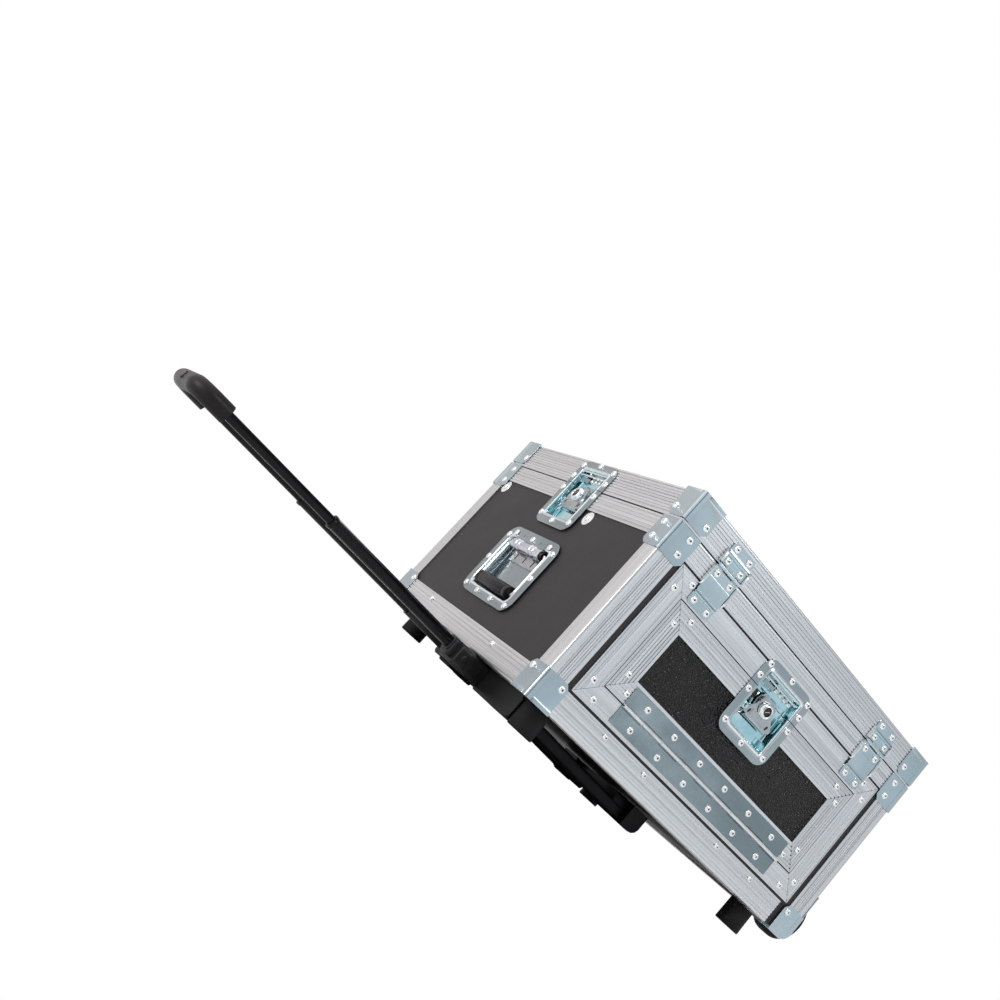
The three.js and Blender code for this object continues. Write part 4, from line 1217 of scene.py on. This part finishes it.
def build_piano_hinge():
    low, high = span("piano_hinge_wall_leaf")
    door_high = span("piano_hinge_door_leaf")[1]
    x0, x1 = low.x - 0.15, high.x + 0.15
    axis_z = (low.z + door_high.z) / 2
    w, r, thick = 3.0, 2.6, 1.2
    pitch = (x1 - x0) / PIANO_KNUCKLES
    across = lying(0, axis_z, w)
    leaves = {
        "wall": ("case", low.z, axis_z - r - PLAY, -1),
        "door": ("door", axis_z + r + PLAY, door_high.z, 1),
    }
    rows = {"wall": axis_z - 16.3, "door": axis_z + 15.6}
    middle = (x0 + x1) / 2
    for number, (leaf, (home, z0, z1, way)) in enumerate(leaves.items()):
        at = on_face("front", 0, 0)
        shape = Shape(at)
        shape.add(round_plate(x0, x1, z0, z1, 0.8, PLAY, PLAY + thick, 0.3))
        for i in range(PIANO_KNUCKLES):
            if i % 2 != number:
                continue
            start, end = x0 + i * pitch + 0.2, x0 + (i + 1) * pitch - 0.2
            # The knuckles take look 1, a painted highlight along the barrel
            shape.add(eased_rod(r, start, end, sides=20), across, look=1)
            shape.add(block(start, end, *sorted((axis_z, axis_z + way * (r + PLAY + 1))), PLAY, PLAY + thick))
        piece(f"piano_leaf_{leaf}", shape, home, [HINGE_STEEL, BRIGHT_STEEL_AND_HIGHLIGHT],
              [f"piano_hinge_{leaf}_leaf"])
        spots = [(middle + (k - 2.5) * 55.2, rows[leaf], PLAY + thick) for k in range(6)]
        rivet_group(f"piano_{leaf}", home, at, spots)


# ------------------------------------------------- rivets along the extrusions
def mirrored(spots):
    """Spots of one half of the door face with their mirror images, on bare metal."""
    return [(u, z, 0.0) for x, z in spots for u in (x, LENGTH - x)]


def washer(shape, u, v, base):
    """A dished washer under a rivet head, standing on a panel."""
    ring = [
        (10.5, base - 0.3), (10.5, base + 0.6), (10.0, base + 1.0), (7.0, base + 1.0), (6.4, base + 0.8),
        (3.0, base + 0.8),
    ]
    shape.add(lathe(ring, 32), shift(u, v))
    rivet(shape, u, v, base + 0.8)


def build_rivets():
    surround = Shape(on_face("front", 0, 0))
    for spot in mirrored([(52.9, 207), (69.6, 224.7), (53.9, 64.7), (71.3, 48.1)]):
        rivet(surround, *spot)
    for x in (118, 196, 354, 432):
        rivet(surround, x, 27, 0.0, r=4.0)
    piece("rivets_surround", surround, "case", RIVET_LOOKS)
    door = mirrored([(85.7, 177.3), (102.8, 194.2), (85.1, 97.7), (100.9, 80.2)])
    rivet_group("door", "door", on_face("front", 0, 0), door, "aluminium", r=4.2)

    rear = [(-x, z, 0.0) for x in (90, 180, 275, 370, 460) for z in (251, 24)]
    rear += [(-x, z, 0.0) for x in (22, LENGTH - 22) for z in (90, 145, 195)]
    rivet_group("rear", "case", on_face("rear", 0, 0), rear, "aluminium")
    lid_rear = [(-x, 289, 0.0) for x in (90, 212, 338, 460)]
    rivet_group("lid_rear", "lid", on_face("rear", 0, 0), lid_rear, "aluminium")

    for end, way in (("left", -1), ("right", 1)):
        at = on_face(end, 0, 0)
        sill = [(way * y, 22, 0.0) for y in (140, 369)]
        rivet_group(f"sill_{end}", "case", at, sill, "aluminium", r=4.0)
        low, high = span(f"{end}_panel")
        base = -low.x if end == "left" else high.x - LENGTH
        washers = Shape(at)
        for y in (182, 455):
            washer(washers, way * y, 225.8, base)
        piece(f"washers_{end}", washers, "case", RIVET_LOOKS)


# ------------------------------------------------------------------ rack rails
def build_rack_rails():
    for end in ENDS:
        low, high = span(f"rack_rail_{end}")
        inward = 1 if end == "left" else -1
        x = low.x if end == "left" else high.x
        at = axes_at(((0, 1, 0), (inward, 0, 0), (0, 0, 1)), (x, 0, 0))
        rail = Shape(at)
        reach = high.x - low.x
        gap0, gap1 = pan_gap(f"latch_dish_{end}", 1.0)
        rail.add(block(low.y, high.y, 2.9, reach, high.z - 2, high.z))
        for a, b in ((low.y, gap0), (gap1, high.y)):
            rail.add(block(a, b, 0, 2, low.z, high.z))
            rail.add(block(a, b, 0, 2.9, high.z - 2, high.z))
        piece(f"rail_{end}", rail, "case", [ZINC], [f"rack_rail_{end}"], bevel=0.3)
        # The holes along the rail are drawn as flush dark discs of painted shade
        hole_shade = Shape(at)
        count = 24
        for i in range(count):
            y = low.y + 14 + (high.y - low.y - 28) * i / (count - 1)
            hole_shade.add(lathe([(3.2, high.z - 2.02), (3.2, high.z + 0.02)], 16), shift(y, reach - 14), look=0)
        piece(f"rail_hole_shade_{end}", hole_shade, "case", [DARK_STEEL_AND_SHADE])


# -------------------------------------------------------------- trolley handle
TILT = 0.034
TROLLEY_Z = -11.8
MOULD_BORE = 8.9
OUTER_TUBE = {"x0": -32.0, "x1": 345.0, "half": 9.5, "bore": 8.4, "bore_end": 330.0}
MID_TUBE = (-247.0, 8.0)
TOP_TUBE = {"x0": -454.0, "x1": -205.0, "bend": 22.0, "sleeve_x1": -412.0, "sleeve_r": 12.0}


def trolley_row(side):
    """How far back the tubes of one side run."""
    low, high = span(f"trolley_mid_tube_{side}")
    return (low.y + high.y) / 2


TROLLEY_ROWS = (trolley_row("front"), trolley_row("rear"))


def tube_height(x):
    """Height of the tubes' middle line, which drops inward under the floor."""
    return TROLLEY_Z - x * math.tan(TILT)


def moulded(x0, x1, y0, y1, z0, z1, r, row=None, edge=1.4):
    """A moulding along X with rounded long edges; one on a row is bored for its tube."""
    loops = []
    for inset, x in ((edge, x0), (0, x0 + edge), (0, x1 - edge), (edge, x1)):
        section = rounded(y0 + inset, y1 - inset, z0 + inset, z1, r - inset, 0, 5)
        loops.append([(x, y, z) for y, z, _ in section])
    if row is None:
        return loft(loops)
    count = len(loops[0])
    first = math.atan2(loops[1][0][2] - tube_height(x0), loops[1][0][1] - row)
    second = math.atan2(loops[1][1][2] - tube_height(x0), loops[1][1][1] - row)
    step = math.copysign(2 * math.pi / count, math.sin(second - first))
    hole = []
    for x in (x1, x0):
        z = tube_height(x)
        turn = [first + step * i for i in range(count)]
        hole.append([(x, row + MOULD_BORE * math.cos(a), z + MOULD_BORE * math.sin(a)) for a in turn])
    return loft(loops + hole, closed=True)


def sloped(y):
    """A placement on the tilted middle line of the tubes."""
    return Matrix.Translation((0, y, TROLLEY_Z)) @ Matrix.Rotation(TILT, 4, "Y")


def build_outer_tubes():
    x0, x1, half, bore, bore_end = OUTER_TUBE.values()
    ends = ((half - 0.5, 3.6, x0), (half, 4.0, x0 + 0.6), (half, 4.0, x1 - 0.6), (half - 0.5, 3.6, x1))
    square = [rounded(-h, h, -h, h, r, x, 7) for h, r, x in ends]
    angles = [math.atan2(p[1], p[0]) for p in square[1]]
    hole = [[(bore * math.cos(a), bore * math.sin(a), x) for a in angles] for x in (bore_end, x0)]
    outer = Shape()
    for y in TROLLEY_ROWS:
        outer.add(loft(hole + square), sloped(y) @ lying())
    piece("trolley_outer_tubes", outer, "case", [TUBE_PAINT], ["trolley_base"])


def build_mouldings():
    """The black mouldings under the floor that hold the outer tubes."""
    clamps = Shape()
    top = -PLAY - 0.2
    near, far = TROLLEY_ROWS
    for x0, x1, y0, y1, low, r, row in (
        (-30, -18, near - 13, near + 13, -25.5, 6, near), (-22, 76, near - 22, near + 22, -30, 7, near),
        (28, 72, 47, near - 12, -34, 5, None), (46, 64, 46.4, 60, -34.4, 5, None),
        (48, 122, far - 22, far + 22, -30, 6, far), (62, 84, far - 20, far + 23, -33, 4, far),
        (92, 108, far - 20, far + 23, -33.5, 4, far),
        (309, 366, near - 8.4, near + 22, -33, 4, None), (325, 366, far - 22, far + 22, -33, 5, None),
        (330, 342, far - 19, far + 23, -34.5, 3, None),
    ):
        clamps.add(moulded(x0, x1, y0, y1, low, top, r, row))
    near_end = [(335, top), (335, -33), (352, -33), (359, -31.5), (364, -27.5), (366, -22), (366, top)]
    clamps.add(plate(near_end, 8 - near, 22 - near), axes_at(AXES["front"], (0, 0, 0)))
    for x in (-4, 16, 36, 56):
        for y in (near - 22.7, near + 20.7):
            clamps.add(block(x, x + 2.4, y, y + 2, -26, -4))
    screw = lathe([(4.2, 0), (4.2, 1.0), (3.4, 1.6), (2.0, 1.7)], 20)
    clamps.add(screw, axes_at(AXES["front"], (-10, near - 22, -15)))
    clamps.add(block(48, 70, near + 12, far - 12, -11, top))
    clamps.add(block(338, 362, near, far, -11, top))
    piece("trolley_clamps", clamps, "case", [PLASTIC], ["trolley_base"], bevel=0.8, segments=3)


def build_mid_tubes():
    x0, x1 = MID_TUBE
    profile = [
        (6.4, x0 + 0.2), (7.6, x0), (8.4, x0 + 0.2), (8.8, x0 + 0.8), (8.8, x0 + 5.2), (8.3, x0 + 6.0),
        (8.0, x0 + 6.6), (8.0, x1), (6.4, x1),
    ]
    for name, y in zip(("front", "rear"), TROLLEY_ROWS):
        mid = Shape(sloped(y) @ lying()).add(lathe(profile, 40, closed=True))
        piece(f"mid_tube_{name}", mid, "trolley_mid", [GLOSS], [f"trolley_mid_tube_{name}"])


def build_top_stage():
    """The bent top tube with its rubber sleeve and the release button."""
    x0, x1, bend, sleeve_x1, sleeve_r = TOP_TUBE.values()
    at = sloped((TROLLEY_ROWS[0] + TROLLEY_ROWS[1]) / 2)
    half = (TROLLEY_ROWS[1] - TROLLEY_ROWS[0]) / 2
    first = arc((x0 + bend, -half + bend, 0), bend, 270, 180, 10)
    second = arc((x0 + bend, half - bend, 0), bend, 180, 90, 10)
    stage = Shape(at).add(tube([(x1, -half, 0)] + first + second + [(x1, half, 0)], 5.95, 32))
    piece("top_tube", stage, "trolley_top", [GLOSS], ["trolley_top_stage"])

    section = [(x, y) for x, y, _ in circle(sleeve_r, 0, 40)]
    straight = [(x0, y, 0) for y in (-half + bend + 2, -16.5, 16.5, half - bend - 2)]
    points = [(sleeve_x1, -half, 0), (x0 + bend + 2, -half, 0)] + first[1:10]
    points += straight + second[1:10] + [(x0 + bend + 2, half, 0), (sleeve_x1, half, 0)]
    sleeve = Shape(at).add(sweep(points, section))
    piece("grip_sleeve", sleeve, "trolley_top", [GRIP_RUBBER], ["trolley_grip"], bevel=0.9,
          angle=60, segments=3)

    outside = x0 - sleeve_r
    low_x = outside - 1.5
    loops = []
    for inset, x in ((0.0, outside + 3.0), (0.0, low_x + 0.9), (0.9, low_x)):
        u, v = 15.5 - inset, 5.5 - inset
        loops.append([(y, z, x) for y, z, _ in rounded(-u, u, -v, v, 3.0 - inset * 0.5, 0, 5)])
    button = Shape(at).add(loft(loops), lying())
    piece("button", button, "release_button", [PLASTIC], ["release_button"])


build_uprights()
build_long_rails()
build_end_rails()
build_lid_rails()
build_door()
build_brackets()
build_wheels()
build_feet()
build_latches()
build_handles()
build_lid_hinges()
build_piano_hinge()
build_rivets()
build_rack_rails()
build_outer_tubes()
build_mouldings()
build_mid_tubes()
build_top_stage()


# --------------------------------------------------------------------- studio
VIEW_RIGHT = Vector((0.6127, -0.4214, 0.6686))
VIEW_UP = Vector((-0.6633, 0.1858, 0.7250))
VIEW_BACK = Vector((-0.4297, -0.8876, -0.1656))
EYE = Vector((-615.0, -1030.3, -45.7))
LENS = 38.57
SHIFT = (-0.0503, 0.0287)


def build_camera():
    data = bpy.data.cameras.new("camera")
    data.lens = LENS
    data.sensor_width = 36.0
    data.shift_x, data.shift_y = SHIFT
    data.clip_start = 0.01
    camera = bpy.data.objects.new("camera", data)
    turn = Matrix((VIEW_RIGHT, VIEW_UP, VIEW_BACK)).transposed().to_4x4()
    camera.matrix_world = Matrix.Translation(TO_WORLD @ EYE) @ turn
    bpy.context.scene.collection.objects.link(camera)
    bpy.context.scene.camera = camera


def area_light(name, direction, distance, size, power, color=(1, 1, 1)):
    data = bpy.data.lights.new(name, "AREA")
    data.shape = "RECTANGLE"
    data.size = size
    data.size_y = size
    data.energy = power
    data.color = color
    lamp = bpy.data.objects.new(name, data)
    toward = Vector(direction).normalized()
    lamp.location = toward * distance + Vector((0, 0, 0.17))
    lamp.rotation_euler = toward.to_track_quat("Z", "Y").to_euler()
    bpy.context.scene.collection.objects.link(lamp)


STUDIO_SHADE = (0.15, 0.155, 0.16)
SOFTBOXES = [
    # direction, cosines where the light fades in and is full, colour
    ((0.57, -0.81, 0.14), 0.72, 0.97, (0.66, 0.73, 0.78)),
    ((-0.43, 0.89, 0.17), 0.45, 0.85, (0.74, 0.71, 0.71)),
    ((-0.62, 0.10, 0.78), 0.55, 0.88, (1.25, 1.25, 1.25)),
    ((0.95, 0.10, 0.30), 0.60, 0.90, (0.70, 0.70, 0.72)),
    ((0.30, -0.35, -0.89), 0.30, 0.90, (0.55, 0.55, 0.55)),
    ((-0.78, -0.55, 0.25), 0.80, 0.95, (0.90, 0.93, 0.95)),
]


def build_world():
    """A white sweep for the camera; softboxes in a dim room light the case."""
    world = bpy.data.worlds.new("studio")
    bpy.context.scene.world = world
    world.use_nodes = True
    nodes, links = world.node_tree.nodes, world.node_tree.links
    coords = nodes.new("ShaderNodeTexCoord")
    shade = nodes.new("ShaderNodeRGB")
    shade.outputs[0].default_value = (*STUDIO_SHADE, 1)
    color = shade.outputs[0]
    for direction, edge, full, tint in SOFTBOXES:
        facing = nodes.new("ShaderNodeVectorMath")
        facing.operation = "DOT_PRODUCT"
        facing.inputs[1].default_value = Vector(direction).normalized()
        links.new(coords.outputs["Generated"], facing.inputs[0])
        fade = nodes.new("ShaderNodeMapRange")
        fade.interpolation_type = "SMOOTHSTEP"
        fade.inputs["From Min"].default_value = edge
        fade.inputs["From Max"].default_value = full
        links.new(facing.outputs["Value"], fade.inputs["Value"])
        box = nodes.new("ShaderNodeMix")
        box.data_type = "RGBA"
        box.inputs["B"].default_value = (*tint, 1)
        links.new(fade.outputs["Result"], box.inputs["Factor"])
        links.new(color, box.inputs["A"])
        color = box.outputs["Result"]
    light = nodes["Background"]
    links.new(color, light.inputs["Color"])
    sweep_white = nodes.new("ShaderNodeBackground")
    sweep_white.inputs["Color"].default_value = (1.0, 1.0, 1.0, 1.0)
    path = nodes.new("ShaderNodeLightPath")
    choose = nodes.new("ShaderNodeMixShader")
    links.new(path.outputs["Is Camera Ray"], choose.inputs["Fac"])
    links.new(light.outputs["Background"], choose.inputs[1])
    links.new(sweep_white.outputs["Background"], choose.inputs[2])
    links.new(choose.outputs["Shader"], nodes["World Output"].inputs["Surface"])


def build_studio():
    build_world()
    bpy.context.scene.view_settings.view_transform = "Standard"
    area_light("key", -0.7 * VIEW_RIGHT + 0.9 * VIEW_UP + 0.6 * VIEW_BACK, 2.0, 0.5, 10.0, (1.0, 0.97, 0.95))
    area_light("front", (0.55, -1.0, 0.75), 2.4, 0.6, 5.0, (0.95, 0.98, 1.0))
    area_light("glint", 0.75 * VIEW_RIGHT + 0.55 * VIEW_UP + 0.65 * VIEW_BACK, 2.2, 0.20, 12.0)
    area_light("rear", (0.7, 0.9, 0.8), 2.4, 1.2, 14.0)


def build_floor():
    """A pale floor, seen only from above, so that it never hides the underside."""
    mesh = bpy.data.meshes.new("floor")
    corners = [(-12, -12, 0), (12, -12, 0), (12, 12, 0), (-12, 12, 0)]
    mesh.from_pydata(corners, [], [(0, 1, 2, 3)])
    floor = bpy.data.objects.new("floor", mesh)
    bpy.context.scene.collection.objects.link(floor)
    material, nodes, links, shader = tree("floor")
    shader.inputs["Roughness"].default_value = 0.8
    cloud = noise(nodes, links, 3.0)
    color = ramp(nodes, links, cloud.outputs["Fac"], [(0.3, (0.86, 0.86, 0.86)), (0.7, (0.90, 0.90, 0.90))])
    links.new(color.outputs["Color"], shader.inputs["Base Color"])
    geometry = nodes.new("ShaderNodeNewGeometry")
    clear = nodes.new("ShaderNodeBsdfTransparent")
    mix = nodes.new("ShaderNodeMixShader")
    links.new(geometry.outputs["Backfacing"], mix.inputs["Fac"])
    links.new(shader.outputs["BSDF"], mix.inputs[1])
    links.new(clear.outputs["BSDF"], mix.inputs[2])
    links.new(mix.outputs["Shader"], nodes["Material Output"].inputs["Surface"])
    mesh.materials.append(material)


build_camera()
build_studio()
build_floor()
